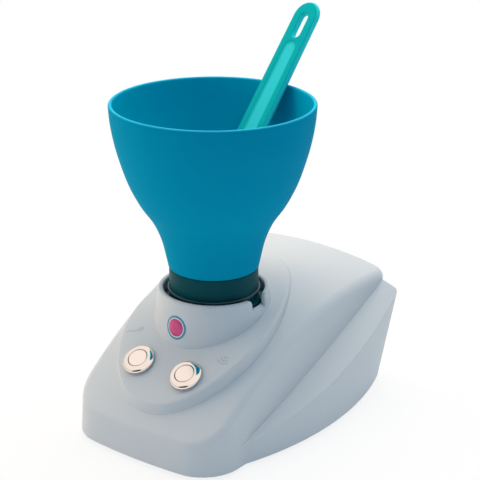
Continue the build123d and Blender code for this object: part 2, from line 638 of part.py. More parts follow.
# ================================================================ motor and belt
def bracket_bolts():
    """Centres of the motor bracket's foot screws."""
    x = BRACKET_WIDTH / 2 + BRACKET_TAB / 2
    return [(side * x, MOTOR_Y + dy) for side in (1, -1) for dy in (-10, 10)]


def motor_bracket():
    """Bent sheet bracket: a top plate on two legs with outward tabs."""
    foot = PLATE_LOW_Z + PLATE_THICKNESS
    thick = BRACKET_THICKNESS
    bracket = block(BRACKET_WIDTH, BRACKET_DEPTH, MOTOR_TOP_Z, MOTOR_TOP_Z + thick, 0, MOTOR_Y)
    for side in (1, -1):
        leg_x = side * (BRACKET_WIDTH - thick) / 2
        bracket += block(thick, BRACKET_DEPTH, foot, MOTOR_TOP_Z + thick, leg_x, MOTOR_Y)
        tab_x = side * (BRACKET_WIDTH + BRACKET_TAB) / 2
        bracket += block(BRACKET_TAB, BRACKET_DEPTH, foot, foot + thick, tab_x, MOTOR_Y)
    bracket = fillet(bracket.edges().filter_by(Axis.Y).group_by(Axis.Z)[-1], thick - 0.5)
    bracket -= upright(MOTOR_BOSS_R, 0, BEYOND, 0, MOTOR_Y)
    for x, y in bracket_bolts():
        bracket -= upright(SCREW_R + SCREW_CLEARANCE, 0, 20, x, y)
    for side in (1, -1):
        bracket -= upright(SCREW_R + SCREW_CLEARANCE, MOTOR_TOP_Z - 1, 70, side * MOTOR_R * 0.6, MOTOR_Y)
    return bracket


def bracket_screws():
    """The bracket's foot screws and the two that hold the motor."""
    foot_top = PLATE_LOW_Z + PLATE_THICKNESS + BRACKET_THICKNESS + SCREW_HEAD
    screws = [screw_down(foot_top, foot_top - PLATE_LOW_Z, x, y) for x, y in bracket_bolts()]
    top = MOTOR_TOP_Z + BRACKET_THICKNESS + SCREW_HEAD
    depth = SCREW_HEAD + BRACKET_THICKNESS + MOTOR_WALL
    screws += [screw_down(top, depth, side * MOTOR_R * 0.6, MOTOR_Y) for side in (1, -1)]
    return Part() + screws


def motor_can():
    """Drawn steel can with a boss round the shaft."""
    can = upright(MOTOR_R, MOTOR_FOOT_Z, MOTOR_TOP_Z, 0, MOTOR_Y)
    can = fillet(can.edges().group_by(Axis.Z)[0], 3.0)
    can -= upright(MOTOR_R - MOTOR_WALL, MOTOR_FOOT_Z + MOTOR_WALL, MOTOR_TOP_Z - MOTOR_WALL, 0, MOTOR_Y)
    can += upright(MOTOR_BOSS_R, MOTOR_TOP_Z, MOTOR_TOP_Z + BRACKET_THICKNESS + 0.5, 0, MOTOR_Y)
    can += upright(MOTOR_BOSS_R, MOTOR_FOOT_Z - MOTOR_BOSS, MOTOR_FOOT_Z + MOTOR_WALL, 0, MOTOR_Y)
    can -= upright(MOTOR_SHAFT_R + RUN_CLEARANCE, MOTOR_FOOT_Z, BEYOND, 0, MOTOR_Y)
    for side in (1, -1):
        can -= upright(SCREW_R + SCREW_CLEARANCE, MOTOR_TOP_Z - 3, 70, side * MOTOR_R * 0.6, MOTOR_Y)
    return can


def motor_magnets():
    """Two curved magnets inside the can."""
    outer = MOTOR_R - MOTOR_WALL
    low = MOTOR_FOOT_Z + 6
    ring = tube(outer, outer - MAGNET_WALL, low, low + ARMATURE_LENGTH + 4, 0, MOTOR_Y)
    return ring - Pos(0, MOTOR_Y, low + 20) * Box(12, 3 * MOTOR_R, 80)


def motor_armature():
    """Slotted rotor stack."""
    radius = MOTOR_R - MOTOR_WALL - MAGNET_WALL - ARMATURE_GAP
    low = MOTOR_FOOT_Z + 8
    stack = upright(radius, low, low + ARMATURE_LENGTH, 0, MOTOR_Y)
    for index in range(ARMATURE_SLOTS):
        angle = 360 / ARMATURE_SLOTS * index
        slot = Pos(radius, 0, low + ARMATURE_LENGTH / 2) * Box(8, 2.4, ARMATURE_LENGTH)
        stack -= Pos(0, MOTOR_Y, 0) * Rot(0, 0, angle) * slot
    return stack - upright(MOTOR_SHAFT_R, 0, BEYOND, 0, MOTOR_Y)


def motor_shaft():
    """Rotor shaft up to the small pulley."""
    return upright(MOTOR_SHAFT_R, MOTOR_FOOT_Z + 0.5, PULLEY_LOW_Z + PULLEY_HEIGHT + 0.5, 0, MOTOR_Y)


def motor_pulley():
    """Small pulley on the rotor shaft."""
    return Pos(0, MOTOR_Y, PULLEY_LOW_Z) * pulley(MOTOR_PULLEY_R, MOTOR_SHAFT_R, MOTOR_PULLEY_R)


def belt_area(extra):
    """The outline of a belt laid round both pulleys, grown by the given amount."""
    big = SPINDLE_PULLEY_R + extra
    small = MOTOR_PULLEY_R + extra
    rise = (SPINDLE_PULLEY_R - MOTOR_PULLEY_R) / MOTOR_Y
    reach = sqrt(1 - rise * rise)
    outline = Polyline((big * reach, big * rise), (small * reach, MOTOR_Y + small * rise),
                       (-small * reach, MOTOR_Y + small * rise), (-big * reach, big * rise),
                       (big * reach, big * rise))
    return make_face(outline) + Circle(big) + Pos(0, MOTOR_Y) * Circle(small)


def drive_belt():
    """Flat belt round both pulleys."""
    low = PULLEY_LOW_Z + PULLEY_RIM + BELT_SIDE_CLEARANCE
    high = PULLEY_LOW_Z + PULLEY_HEIGHT - PULLEY_RIM - BELT_SIDE_CLEARANCE
    ring = belt_area(BELT_CLEARANCE + BELT_THICKNESS) - belt_area(BELT_CLEARANCE)
    return Pos(0, 0, low) * extrude(ring, amount=high - low)


# ================================================================ push buttons
def button_bezel(side):
    """Bevelled head and threaded barrel of a button."""
    head = extrude(Circle(BUTTON_HEAD_R), amount=BUTTON_HEAD)
    head = chamfer(head.edges().group_by(Axis.Z)[-1], BUTTON_BEVEL)
    body = head + Pos(0, 0, -BUTTON_BARREL / 2) * Cylinder(BUTTON_BARREL_R, BUTTON_BARREL)
    bore_depth = BUTTON_BORE + BUTTON_HEAD
    body -= Pos(0, 0, BUTTON_HEAD - bore_depth / 2) * Cylinder(BUTTON_CAP_R + BUTTON_CAP_GAP, bore_depth)
    body -= Pos(0, 0, -STEM_BORE / 2) * Cylinder(STEM_R + BUTTON_CAP_GAP, STEM_BORE)
    return button_place(side) * body


def button_cap(side):
    """The part of a button that is pressed, with its stem."""
    top = BUTTON_HEAD + BUTTON_CAP_PROUD
    cap = Pos(0, 0, top - BUTTON_CAP / 2) * Cylinder(BUTTON_CAP_R, BUTTON_CAP)
    cap = chamfer(cap.edges().group_by(Axis.Z)[-1], 0.4)
    cap += Pos(0, 0, top - BUTTON_CAP - STEM / 2) * Cylinder(STEM_R, STEM)
    return button_place(side) * cap


def button_nut(side):
    """Hexagon nut under the housing skin."""
    nut = extrude(RegularPolygon(BUTTON_NUT_R, 6), amount=BUTTON_NUT) - Cylinder(BUTTON_BARREL_R, 20)
    return button_place(side) * Pos(0, 0, -NUT_DEPTH - BUTTON_NUT) * nut


def contact_block(side):
    """Moulded contact carrier with four blade terminals at the barrel's end."""
    carrier = Pos(0, 0, -BUTTON_BARREL - CONTACT / 2) * Cylinder(CONTACT_R, CONTACT)
    width, thick, length = TERMINAL_SIZE
    for index in range(4):
        blade = Pos(TERMINAL_RING_R, 0, -BUTTON_BARREL - CONTACT - length / 2) * Box(thick, width, length)
        carrier += Rot(0, 0, 90 * index) * blade
    return button_place(side) * carrier


# ================================================================ mains inlet, switch and board
def power_inlet():
    """Recessed three-pole inlet body with its flange."""
    flange = RectangleRounded(*INLET_FLANGE, 2.5)
    body = extrude(flange, amount=INLET_FLANGE_THICKNESS)
    body += Pos(0, 0, -INLET_DEPTH / 2) * Box(*INLET_BODY, INLET_DEPTH)
    cavity = RectangleRounded(*INLET_CAVITY, 3.0)
    body -= Pos(0, 0, INLET_FLANGE_THICKNESS) * extrude(cavity, amount=-INLET_CAVITY_DEPTH)
    for side in (1, -1):
        body -= Pos(side * INLET_SCREW_SPACING / 2, 0, 0) * Cylinder(SCREW_R + SCREW_CLEARANCE, 20)
    for x, y in pin_places():
        body -= Pos(x, y, -INLET_DEPTH) * Box(*PIN_SIZE, 30)
    return on_panel(INLET_X, body)


def pin_places():
    """Centres of the three inlet pins on the panel."""
    return [(-PIN_SPACING, -PIN_RISE), (0, PIN_RISE), (PIN_SPACING, -PIN_RISE)]


def inlet_pins():
    """The three flat pins, through the inlet's back wall."""
    floor = INLET_FLANGE_THICKNESS - INLET_CAVITY_DEPTH
    tail = -INLET_DEPTH - 6
    pins = []
    for x, y in pin_places():
        length = floor + PIN_LENGTH - tail
        pins.append(on_panel(INLET_X, Pos(x, y, tail + length / 2) * Box(*PIN_SIZE, length)))
    return Part() + pins


def inlet_screws():
    """Two screws with nuts that hold the inlet to the panel."""
    screws = []
    for side in (1, -1):
        head = Pos(0, 0, INLET_FLANGE_THICKNESS + SCREW_HEAD / 2) * Cylinder(SCREW_HEAD_R, SCREW_HEAD)
        head -= Pos(0, 0, INLET_FLANGE_THICKNESS + SCREW_HEAD) * Box(0.8, 4, 1.4)
        shank = Pos(0, 0, INLET_FLANGE_THICKNESS - 5) * Cylinder(SCREW_R, 10)
        nut = Pos(0, 0, -PANEL_PAD - 2) * extrude(RegularPolygon(3.0, 6), amount=2)
        screws.append(on_panel(INLET_X + side * INLET_SCREW_SPACING / 2, head + shank + nut))
    return Part() + screws


def switch_frame():
    """Frame and hollow body of the mains switch."""
    frame = extrude(RectangleRounded(*SWITCH_FRAME, 1.5), amount=SWITCH_FRAME_THICKNESS)
    frame += Pos(0, 0, -SWITCH_DEPTH / 2) * Box(*SWITCH_CUT, SWITCH_DEPTH)
    depth = SWITCH_FRAME_THICKNESS + SWITCH_DEPTH - 2
    frame -= Pos(0, 0, SWITCH_FRAME_THICKNESS - depth / 2) * Box(*SWITCH_OPENING, depth)
    pin = Cylinder(ROCKER_PIN_R + RUN_CLEARANCE, SWITCH_OPENING[0] + 2 * ROCKER_PIN + 0.2)
    frame -= Rot(0, 90, 0) * pin
    for index in (-1, 1):
        tail = Pos(0, index * 5, -SWITCH_DEPTH - 3) * Box(4.8, 0.8, 6)
        frame += tail
    return on_panel(SWITCH_X, frame)


def switch_rocker():
    """Rocker with a shallow V top, turning on two stub pins; drawn in the off position."""
    radius = SWITCH_OPENING[1] / 2 - ROCKER_GAP
    width = SWITCH_OPENING[0] - 2 * ROCKER_GAP
    drop = radius * tan(radians(ROCKER_SWING / 2))
    crest = SWITCH_FRAME_THICKNESS + 1.2
    half = sqrt(radius * radius - 9)
    outline = Polyline((-half, 3), (-half, crest + drop * 0.4), (0, crest - drop * 0.6), (half, crest + drop * 0.4),
                       (half, 3), (2.5, -5), (-2.5, -5), (-half, 3))
    body = extrude(Plane.YZ * make_face(outline), amount=width / 2, both=True)
    body += Rot(0, 90, 0) * Cylinder(ROCKER_PIN_R, width + 2 * ROCKER_GAP + 2 * ROCKER_PIN)
    return on_panel(SWITCH_X, Rot(ROCKER_SWING / 2, 0, 0) * body)


def circuit_board():
    """Printed board beside the tower."""
    x, y = BOARD_CENTRE
    board = block(*BOARD_SIZE, BOARD_Z, BOARD_Z + BOARD_THICKNESS, x, y)
    for px, py in post_places():
        board -= upright(SCREW_R + SCREW_CLEARANCE, 0, 30, px, py)
    return board


def post_places():
    """Centres of the board's four posts."""
    x, y = BOARD_CENTRE
    dx = BOARD_SIZE[0] / 2 - POST_INSET
    dy = BOARD_SIZE[1] / 2 - POST_INSET
    return [(x + i * dx, y + j * dy) for i in (1, -1) for j in (1, -1)]


def board_posts():
    """Posts with pegs that hold the board off the bottom plate."""
    foot = PLATE_LOW_Z + PLATE_THICKNESS
    posts = []
    for x, y in post_places():
        post = upright(POST_R, foot, BOARD_Z, x, y)
        posts.append(post + upright(SCREW_R, BOARD_Z, BOARD_Z + BOARD_THICKNESS + 1.5, x, y))
    return Part() + posts


def board_transformer():
    """Small mains transformer on the board."""
    x, y = BOARD_CENTRE
    top = BOARD_Z + BOARD_THICKNESS
    core = block(20, 10, top, top + 20, x, y - 12)
    winding = block(14, 20, top + 3, top + 17, x, y - 12)
    return core + fillet(winding.edges().filter_by(Axis.Z), 3)


def board_parts():
    """Relay, capacitors and terminal strip."""
    x, y = BOARD_CENTRE
    top = BOARD_Z + BOARD_THICKNESS
    parts = [block(13, 16, top, top + 14, x + 3, y + 9)]
    parts.append(upright(5, top, top + 15, x - 2, y + 23.5))
    parts.append(upright(3, top, top + 10, x - 8, y + 4))
    parts.append(upright(3, top, top + 10, x - 8, y + 12))
    return Part() + parts


# ================================================================ export
def pieces():
    """Every piece by the name of its node."""
    named = {
        "upper_housing": upper_housing(),
        "bottom_plate": bottom_plate(),
        "rubber_feet": rubber_feet(),
        "housing_screws": housing_screws(),
        "bearing_tower": bearing_tower(),
        "tower_screws": tower_screws(),
        "upper_bearing_outer": outer_race(UPPER_BEARING_Z),
        "upper_bearing_inner": inner_race(UPPER_BEARING_Z),
        "lower_bearing_outer": outer_race(LOWER_BEARING_Z),
        "lower_bearing_inner": inner_race(LOWER_BEARING_Z),
        "spindle_shaft": spindle_shaft(),
        "retaining_clip": retaining_clip(),
        "spindle_pulley": spindle_pulley(),
        "bowl_holder": bowl_holder(),
        "holder_bolt": holder_bolt(),
        "mixing_bowl": mixing_bowl(),
        "spatula": spatula(),
        "motor_bracket": motor_bracket(),
        "bracket_screws": bracket_screws(),
        "motor_can": motor_can(),
        "motor_magnets": motor_magnets(),
        "motor_armature": motor_armature(),
        "motor_shaft": motor_shaft(),
        "motor_pulley": motor_pulley(),
        "drive_belt": drive_belt(),
        "power_inlet": power_inlet(),
        "inlet_pins": inlet_pins(),
        "inlet_screws": inlet_screws(),
        "switch_frame": switch_frame(),
        "switch_rocker": switch_rocker(),
        "circuit_board": circuit_board(),
        "board_posts": board_posts(),
        "board_transformer": board_transformer(),
        "board_parts": board_parts(),
    }
    for name, side in (("left", -1), ("right", 1)):
        named[f"{name}_button_bezel"] = button_bezel(side)
        named[f"{name}_button_cap"] = button_cap(side)
        named[f"{name}_button_nut"] = button_nut(side)
        named[f"{name}_contact_block"] = contact_block(side)
    return named


def main():
    """Builds every piece and writes one file for each."""
    os.makedirs("parts", exist_ok=True)
    for name, shape in pieces().items():
        export_step(Pos(0, 0, FOOT_HEIGHT) * shape, f"parts/{name}.step")


if __name__ == "__main__":
    main()
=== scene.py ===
"""A bench mixer for dental impression paste, dressed and lit for a studio picture.

The CAD frame gives every rigid form. This script dresses it, and adds the soft bowl, the badge, the
printed symbols and the small trim as surfaces worked out with numpy. Lengths are millimetres until
a mesh is made, and metres from then on.
"""

import logging
import math
from collections.abc import Sequence
from dataclasses import dataclass, field
from enum import Enum

import bpy
import numpy as np
from mathutils import Matrix, Vector

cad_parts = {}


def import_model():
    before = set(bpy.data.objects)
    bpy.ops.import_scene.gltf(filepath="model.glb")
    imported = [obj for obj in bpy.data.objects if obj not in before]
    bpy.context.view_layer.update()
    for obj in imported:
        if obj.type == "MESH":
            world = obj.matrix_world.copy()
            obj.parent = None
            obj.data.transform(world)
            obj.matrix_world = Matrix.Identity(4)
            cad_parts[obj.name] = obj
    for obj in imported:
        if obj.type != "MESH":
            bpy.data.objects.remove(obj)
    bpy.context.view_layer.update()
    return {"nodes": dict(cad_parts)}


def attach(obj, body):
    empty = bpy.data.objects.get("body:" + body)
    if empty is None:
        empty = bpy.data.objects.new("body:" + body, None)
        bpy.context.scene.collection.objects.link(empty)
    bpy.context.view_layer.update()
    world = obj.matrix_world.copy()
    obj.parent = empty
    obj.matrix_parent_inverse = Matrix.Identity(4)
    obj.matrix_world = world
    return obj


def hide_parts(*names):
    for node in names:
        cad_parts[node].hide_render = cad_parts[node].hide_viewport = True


LOG = logging.getLogger("mixer")
MM = 0.001
PLINTH = 3.0  # height of the feet below the housing's edge
BUMP_STRENGTH = 0.5
CLOUDS_PER_METRE = 30.0  # size of the slight change of tone
CLOUD_EDGES = (0.3, 0.7)  # the noise's useful range


# ---------------------------------------------------------------- colour and node helpers
def linear(code: str) -> tuple[float, float, float, float]:
    """Turns an sRGB hex colour to linear light.

    Args:
        code: Six hex digits, with or without a leading hash.

    Returns:
        Red, green, blue and an alpha of 1.
    """
    digits = code.lstrip("#")
    values = np.array([int(digits[i:i + 2], 16) for i in (0, 2, 4)]) / 255.0
    low = values / 12.92
    high = ((values + 0.055) / 1.055) ** 2.4
    red, green, blue = np.where(values <= 0.04045, low, high)
    return float(red), float(green), float(blue), 1.0


def add_node(tree: bpy.types.NodeTree, kind: str, links: dict | None = None,
             **settings: object) -> bpy.types.Node:
    """Adds a node with its settings and incoming links.

    Args:
        tree: The node tree.
        kind: The node's type name.
        links: Input name or index to an output socket, or to a plain value.
        settings: Attributes of the node itself.

    Returns:
        The new node.
    """
    node = tree.nodes.new(kind)
    for key, value in settings.items():
        setattr(node, key, value)
    for key, value in (links or {}).items():
        if isinstance(value, bpy.types.NodeSocket):
            tree.links.new(value, node.inputs[key])
        else:
            node.inputs[key].default_value = value
    return node


def empty_tree(owner: bpy.types.Material | bpy.types.World) -> bpy.types.NodeTree:
    """Turns nodes on for a material or world, and returns its node tree with nothing in it."""
    owner.use_nodes = True
    owner.node_tree.nodes.clear()
    return owner.node_tree


class Grain(Enum):
    """How a surface was finished."""

    PLAIN = "plain"
    SPARK = "spark-eroded mould texture"


@dataclass(frozen=True)
class Finish:
    """One material, named for what it is and how its surface was made."""

    name: str
    colour: str
    roughness: float
    metallic: float = 0.0
    ior: float = 1.5
    coat: float = 0.0
    coat_roughness: float = 0.1
    specular: float = 0.5
    subsurface: float = 0.0
    subsurface_mm: float = 4.0
    grain: Grain = Grain.PLAIN
    grain_mm: float = 0.6
    grain_depth: float = 0.02
    mottle: float = 0.0

    def material(self) -> bpy.types.Material:
        """Makes the material, or returns the one already made.

        Returns:
            A node material with one Principled shader.
        """
        made = bpy.data.materials.get(self.name)
        if made:
            return made
        material = bpy.data.materials.new(self.name)
        tree = empty_tree(material)
        shader = add_node(tree, "ShaderNodeBsdfPrincipled", {
            "Base Color": linear(self.colour), "Roughness": self.roughness,
            "Metallic": self.metallic, "IOR": self.ior, "Coat Weight": self.coat,
            "Coat Roughness": self.coat_roughness, "Specular IOR Level": self.specular,
            "Subsurface Weight": self.subsurface})
        shader.inputs["Subsurface Radius"].default_value = (1.0, 1.0, 1.0)
        shader.inputs["Subsurface Scale"].default_value = self.subsurface_mm * MM
        add_node(tree, "ShaderNodeOutputMaterial", {"Surface": shader.outputs["BSDF"]})
        self.surface_nodes(tree, shader)
        material.diffuse_color = linear(self.colour)
        return material

    def surface_nodes(self, tree: bpy.types.NodeTree, shader: bpy.types.Node) -> None:
        """Links the surface's fine relief and its slight change of tone.

        Args:
            tree: The material's node tree.
            shader: Its Principled shader.
        """
        if self.grain is Grain.PLAIN and not self.mottle:
            return
        place = add_node(tree, "ShaderNodeTexCoord")
        if self.grain is Grain.SPARK:
            noise = add_node(tree, "ShaderNodeTexNoise", {
                "Vector": place.outputs["Object"], "Scale": 1.0 / (self.grain_mm * MM),
                "Detail": 2.0})
            bump = add_node(tree, "ShaderNodeBump", {
                "Height": noise.outputs["Fac"], "Strength": BUMP_STRENGTH,
                "Distance": self.grain_depth * MM})
            tree.links.new(bump.outputs["Normal"], shader.inputs["Normal"])
        if self.mottle:
            cloud = add_node(tree, "ShaderNodeTexNoise", {
                "Vector": place.outputs["Object"], "Scale": CLOUDS_PER_METRE, "Detail": 3.0})
            tones = add_node(tree, "ShaderNodeMapRange", {
                "Value": cloud.outputs["Fac"], "From Min": CLOUD_EDGES[0],
                "From Max": CLOUD_EDGES[1], "To Min": 1.0 - self.mottle,
                "To Max": 1.0 + self.mottle})
            tint = add_node(tree, "ShaderNodeVectorMath", {
                0: linear(self.colour)[:3], "Scale": tones.outputs["Result"]}, operation="SCALE")
            tree.links.new(tint.outputs["Vector"], shader.inputs["Base Color"])

    def two_tones(self, tree: bpy.types.NodeTree, shader: bpy.types.Node,
                  share: bpy.types.NodeSocket, first: str, second: str) -> bpy.types.NodeSocket:
        """Mixes two sRGB colours and links the result as the shader's colour.

        Args:
            tree: The material's node tree.
            shader: Its Principled shader.
            share: How much of the second colour shows.
            first: The colour where the share is 0.
            second: The colour where it is 1.

        Returns:
            The mixed colour.
        """
        tones = add_node(tree, "ShaderNodeMixRGB", {
            "Fac": share, "Color1": linear(first), "Color2": linear(second)})
        tree.links.new(tones.outputs["Color"], shader.inputs["Base Color"])
        return tones.outputs["Color"]


@dataclass(frozen=True)
class ThinTone(Finish):
    """A translucent plastic blade that is paler where its section is thin."""

    thin_colour: str = "#FFFFFF"
    axis: tuple[float, float, float] = (0.146224, 0.545716, 0.825113)
    grip_mm: tuple[float, float, float] = (7.03, 57.22, 219.0)  # from the floor, not the plinth
    thin_mm: float = 1.45
    thick_mm: float = 2.0

    def surface_nodes(self, tree: bpy.types.NodeTree, shader: bpy.types.Node) -> None:
        """Mixes the two tones by the distance from the blade's middle plane.

        The distance is the length of (point - grip) along the plane's normal, which is square to
        the spatula's axis and to the level direction across it.

        Args:
            tree: The material's node tree.
            shader: Its Principled shader.
        """
        axis = Vector(self.axis)
        across = Vector((axis.y, -axis.x, 0.0)).normalized()
        normal = axis.cross(across)
        place = add_node(tree, "ShaderNodeTexCoord")
        moved = add_node(tree, "ShaderNodeVectorMath", {
            0: place.outputs["Object"], 1: tuple(c * MM for c in self.grip_mm)},
            operation="SUBTRACT")
        depth = add_node(tree, "ShaderNodeVectorMath", {
            0: moved.outputs["Vector"], 1: tuple(normal)}, operation="DOT_PRODUCT")
        size = add_node(tree, "ShaderNodeMath", {0: depth.outputs["Value"]}, operation="ABSOLUTE")
        share = add_node(tree, "ShaderNodeMapRange", {
            "Value": size.outputs[0], "From Min": self.thin_mm * MM,
            "From Max": self.thick_mm * MM})
        self.two_tones(tree, shader, share.outputs["Result"], self.thin_colour, self.colour)


@dataclass(frozen=True)
class PaintedLightVinyl(Finish):
    """Soft vinyl: painted light makes its inside paler, as if lit through the wall, and its thin
    lip bright.
    """

    inside_painted_light_colour: str = "#FFFFFF"
    lip_highlight_colour: str = "#FFFFFF"

    def surface_nodes(self, tree: bpy.types.NodeTree, shader: bpy.types.Node) -> None:
        """Adds the moulded grain, and mixes the three tones by the mesh's attributes.

        Args:
            tree: The material's node tree.
            shader: Its Principled shader.
        """
        super().surface_nodes(tree, shader)
        # painted light: the 'inside' attribute mixes a paler tone onto the inner wall, standing for
        # light through the wall
        inside_light_share = add_node(tree, "ShaderNodeAttribute", attribute_name="inside")
        body = self.two_tones(tree, shader, inside_light_share.outputs["Fac"], self.colour, self.inside_painted_light_colour)
        # painted highlight: the 'lip' attribute mixes a brighter colour along the thin lip
        edge = add_node(tree, "ShaderNodeAttribute", attribute_name="lip")
        tones = add_node(tree, "ShaderNodeMixRGB", {
            "Fac": edge.outputs["Fac"], "Color1": body, "Color2": linear(self.lip_highlight_colour)})
        tree.links.new(tones.outputs["Color"], shader.inputs["Base Color"])


@dataclass(frozen=True)
class PolishedFoot(Finish):
    """A satin moulding whose foot flange came off a polished mould face."""

    foot_mm: float = 89.4
    foot_blend_mm: float = 0.6
    foot_roughness: float = 0.12

    def surface_nodes(self, tree: bpy.types.NodeTree, shader: bpy.types.Node) -> None:
        """Adds the grain, and makes the surface glossier below the flange's upper face.

        Args:
            tree: The material's node tree.
            shader: Its Principled shader.
        """
        super().surface_nodes(tree, shader)
        place = add_node(tree, "ShaderNodeTexCoord")
        axes = add_node(tree, "ShaderNodeSeparateXYZ", {0: place.outputs["Object"]})
        gloss = add_node(tree, "ShaderNodeMapRange", {
            "Value": axes.outputs["Z"], "From Min": self.foot_mm * MM,
            "From Max": (self.foot_mm + self.foot_blend_mm) * MM,
            "To Min": self.foot_roughness, "To Max": self.roughness})
        tree.links.new(gloss.outputs["Result"], shader.inputs["Roughness"])


# Moulded ABS with a fine spark-eroded texture: an even, cool light grey with a soft sheen.
HOUSING = Finish("spark_textured_abs", "#D1D7DB", 0.48, specular=0.2, grain=Grain.SPARK,
                 grain_mm=0.7, grain_depth=0.03)
# Moulded flexible vinyl: a deep blue, matt and waxy; painted light makes it paler inside and bright
# at its thin lip.
BOWL = PaintedLightVinyl("flexible_vinyl_blue", "#0093B8", 0.6, ior=1.47, specular=0.01, subsurface=0.08,
               subsurface_mm=3.0, grain=Grain.SPARK, grain_mm=1.2, grain_depth=0.03,
               inside_painted_light_colour="#00ADCB", lip_highlight_colour="#3CC2E6")
# Glass-filled nylon, nearly black with a green-blue cast: a satin wall over a polished flange.
HOLDER = PolishedFoot("dark_teal_nylon", "#00474E", 0.42, specular=0.07, grain=Grain.SPARK,
                      grain_mm=0.8)
# Injection-moulded polypropylene, translucent: thin sections let light through and look paler.
SPATULA = ThinTone("teal_polypropylene", "#00B6B8", 0.36, ior=1.49, specular=0.03,
                   thin_colour="#35DADF")
# Silicone ring, dark and wet-looking: a low roughness gives it thin bright lights.
RING_RUBBER = Finish("silicone_ring", "#033A40", 0.16, specular=0.35)
# Turned and polished stainless steel: bright, with sharp reflections.
POLISHED = Finish("turned_stainless_steel", "#F3E4D9", 0.1, metallic=1.0)
# Satin stainless disc of the button's moving part.
SATIN_STEEL = Finish("satin_stainless_steel", "#FDEADD", 0.28, metallic=1.0)
# Nickel-plated brass nuts.
NICKEL = Finish("nickel_plate", "#C6C2BA", 0.25, metallic=1.0)
# Ground bearing and shaft steel.
GROUND_STEEL = Finish("ground_steel", "#B4B7BB", 0.28, metallic=1.0)
# Zinc-plated steel sheet and screws: grey, with a faint yellow cast.
ZINC = Finish("zinc_plated_steel", "#B9BABA", 0.36, metallic=1.0, mottle=0.04)
# Sand-cast and blasted alloy.
CAST_ALLOY = Finish("blasted_cast_alloy", "#B1B3B5", 0.55, metallic=1.0, grain=Grain.SPARK,
                    grain_depth=0.05)
# Laminated core iron and ferrite magnets: dull dark grey.
FERRITE = Finish("sintered_ferrite", "#2C2C2F", 0.62)
# Natural acetal pulleys: off-white and slightly waxy.
ACETAL = Finish("natural_acetal", "#E6E4DA", 0.36, subsurface=0.1)
# Neoprene drive belt and feet.
NEOPRENE = Finish("neoprene", "#191919", 0.72, grain=Grain.SPARK, grain_mm=0.5)
# Polycarbonate switch and inlet mouldings.
BLACK = Finish("black_polycarbonate", "#131314", 0.33, grain=Grain.SPARK, grain_mm=0.6)
# Tinned brass pins.
BRASS = Finish("tinned_brass", "#CDB887", 0.30, metallic=1.0)
# Glass-fibre board under green lacquer.
BOARD = Finish("lacquered_board", "#0E5130", 0.35, coat=0.4)
# Amber polyester tape over a winding.
TAPE = Finish("amber_winding_tape", "#B4832B", 0.40)
# Pad-printed inks on the collar and the console.
INK_GREY = Finish("grey_pad_ink", "#C0C5CD", 0.5)
INK_TEAL = Finish("teal_enamel", "#1693AE", 0.3, coat=0.5)
INK_WHITE = Finish("white_enamel", "#F1F3F3", 0.3, coat=0.5)
INK_MAGENTA = Finish("magenta_enamel", "#D3287C", 0.3, coat=0.5)

FINISH_NODES: tuple[tuple[Finish, str], ...] = (
    (HOUSING, "upper_housing bottom_plate"),
    (NEOPRENE, "rubber_feet drive_belt"),
    (ZINC, "housing_screws tower_screws retaining_clip holder_bolt motor_bracket "
           "bracket_screws motor_can inlet_screws"),
    (CAST_ALLOY, "bearing_tower"),
    (GROUND_STEEL, "upper_bearing_outer lower_bearing_outer upper_bearing_inner "
                   "lower_bearing_inner spindle_shaft motor_shaft"),
    (ACETAL, "spindle_pulley motor_pulley board_posts"),
    (HOLDER, "bowl_holder"),
    (SPATULA, "spatula"),
    (BOWL, "mixing_bowl"),
    (FERRITE, "motor_magnets motor_armature"),
    (BLACK, "power_inlet switch_frame switch_rocker board_parts left_contact_block "
            "right_contact_block"),
    (BRASS, "inlet_pins"),
    (BOARD, "circuit_board"),
    (TAPE, "board_transformer"),
    (POLISHED, "left_button_bezel right_button_bezel"),
    (SATIN_STEEL, "left_button_cap right_button_cap"),
    (NICKEL, "left_button_nut right_button_nut"),
)
NODE_FINISH = {name: finish for finish, names in FINISH_NODES for name in names.split()}


# ---------------------------------------------------------------- mesh helpers
def smooth_step(value: np.ndarray) -> np.ndarray:
    """Clips to 0 to 1 and eases both ends: three times the square less twice the cube."""
    share = np.clip(value, 0.0, 1.0)
    return share * share * (3.0 - 2.0 * share)


def to_object(name: str, points: np.ndarray, faces: list, finish: Finish, body: str,
              smooth: bool = True) -> bpy.types.Object:
    """Puts points and faces into a mesh object that rides on a body.

    Args:
        name: The piece's name.
        points: Vertices in millimetres, above the housing's lower edge.
        faces: Vertex indices of each face.
        finish: Its finish.
        body: The body that it moves with.
        smooth: Whether it is shaded smooth.

    Returns:
        The object, at the origin, with its place in its mesh.
    """
    mesh = bpy.data.meshes.new(name)
    lifted = (np.asarray(points, float) + np.array([0.0, 0.0, PLINTH])) * MM
    mesh.from_pydata(lifted.tolist(), [], faces)
    mesh.polygons.foreach_set("use_smooth", [smooth] * len(mesh.polygons))
    mesh.materials.append(finish.material())
    mesh.validate()
    mesh.update()
    piece = bpy.data.objects.new(name, mesh)
    bpy.context.scene.collection.objects.link(piece)
    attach(piece, body)
    LOG.info("piece %s: %d faces on %s", name, len(mesh.polygons), body)
    return piece


def outward(points: np.ndarray, faces: np.ndarray) -> np.ndarray:
    """Turns a closed mesh's quads round if they enclose a negative volume.

    The volume is a sixth of the sum, over every triangle, of a . (b x c) of its corners.

    Args:
        points: Vertices.
        faces: Quads that all turn the same way.

    Returns:
        The quads, facing outwards.
    """
    a, b, c, d = (points[faces[:, k]] for k in range(4))
    volume = np.sum(a * np.cross(b, c)) + np.sum(a * np.cross(c, d))
    return faces if volume > 0 else faces[:, ::-1]


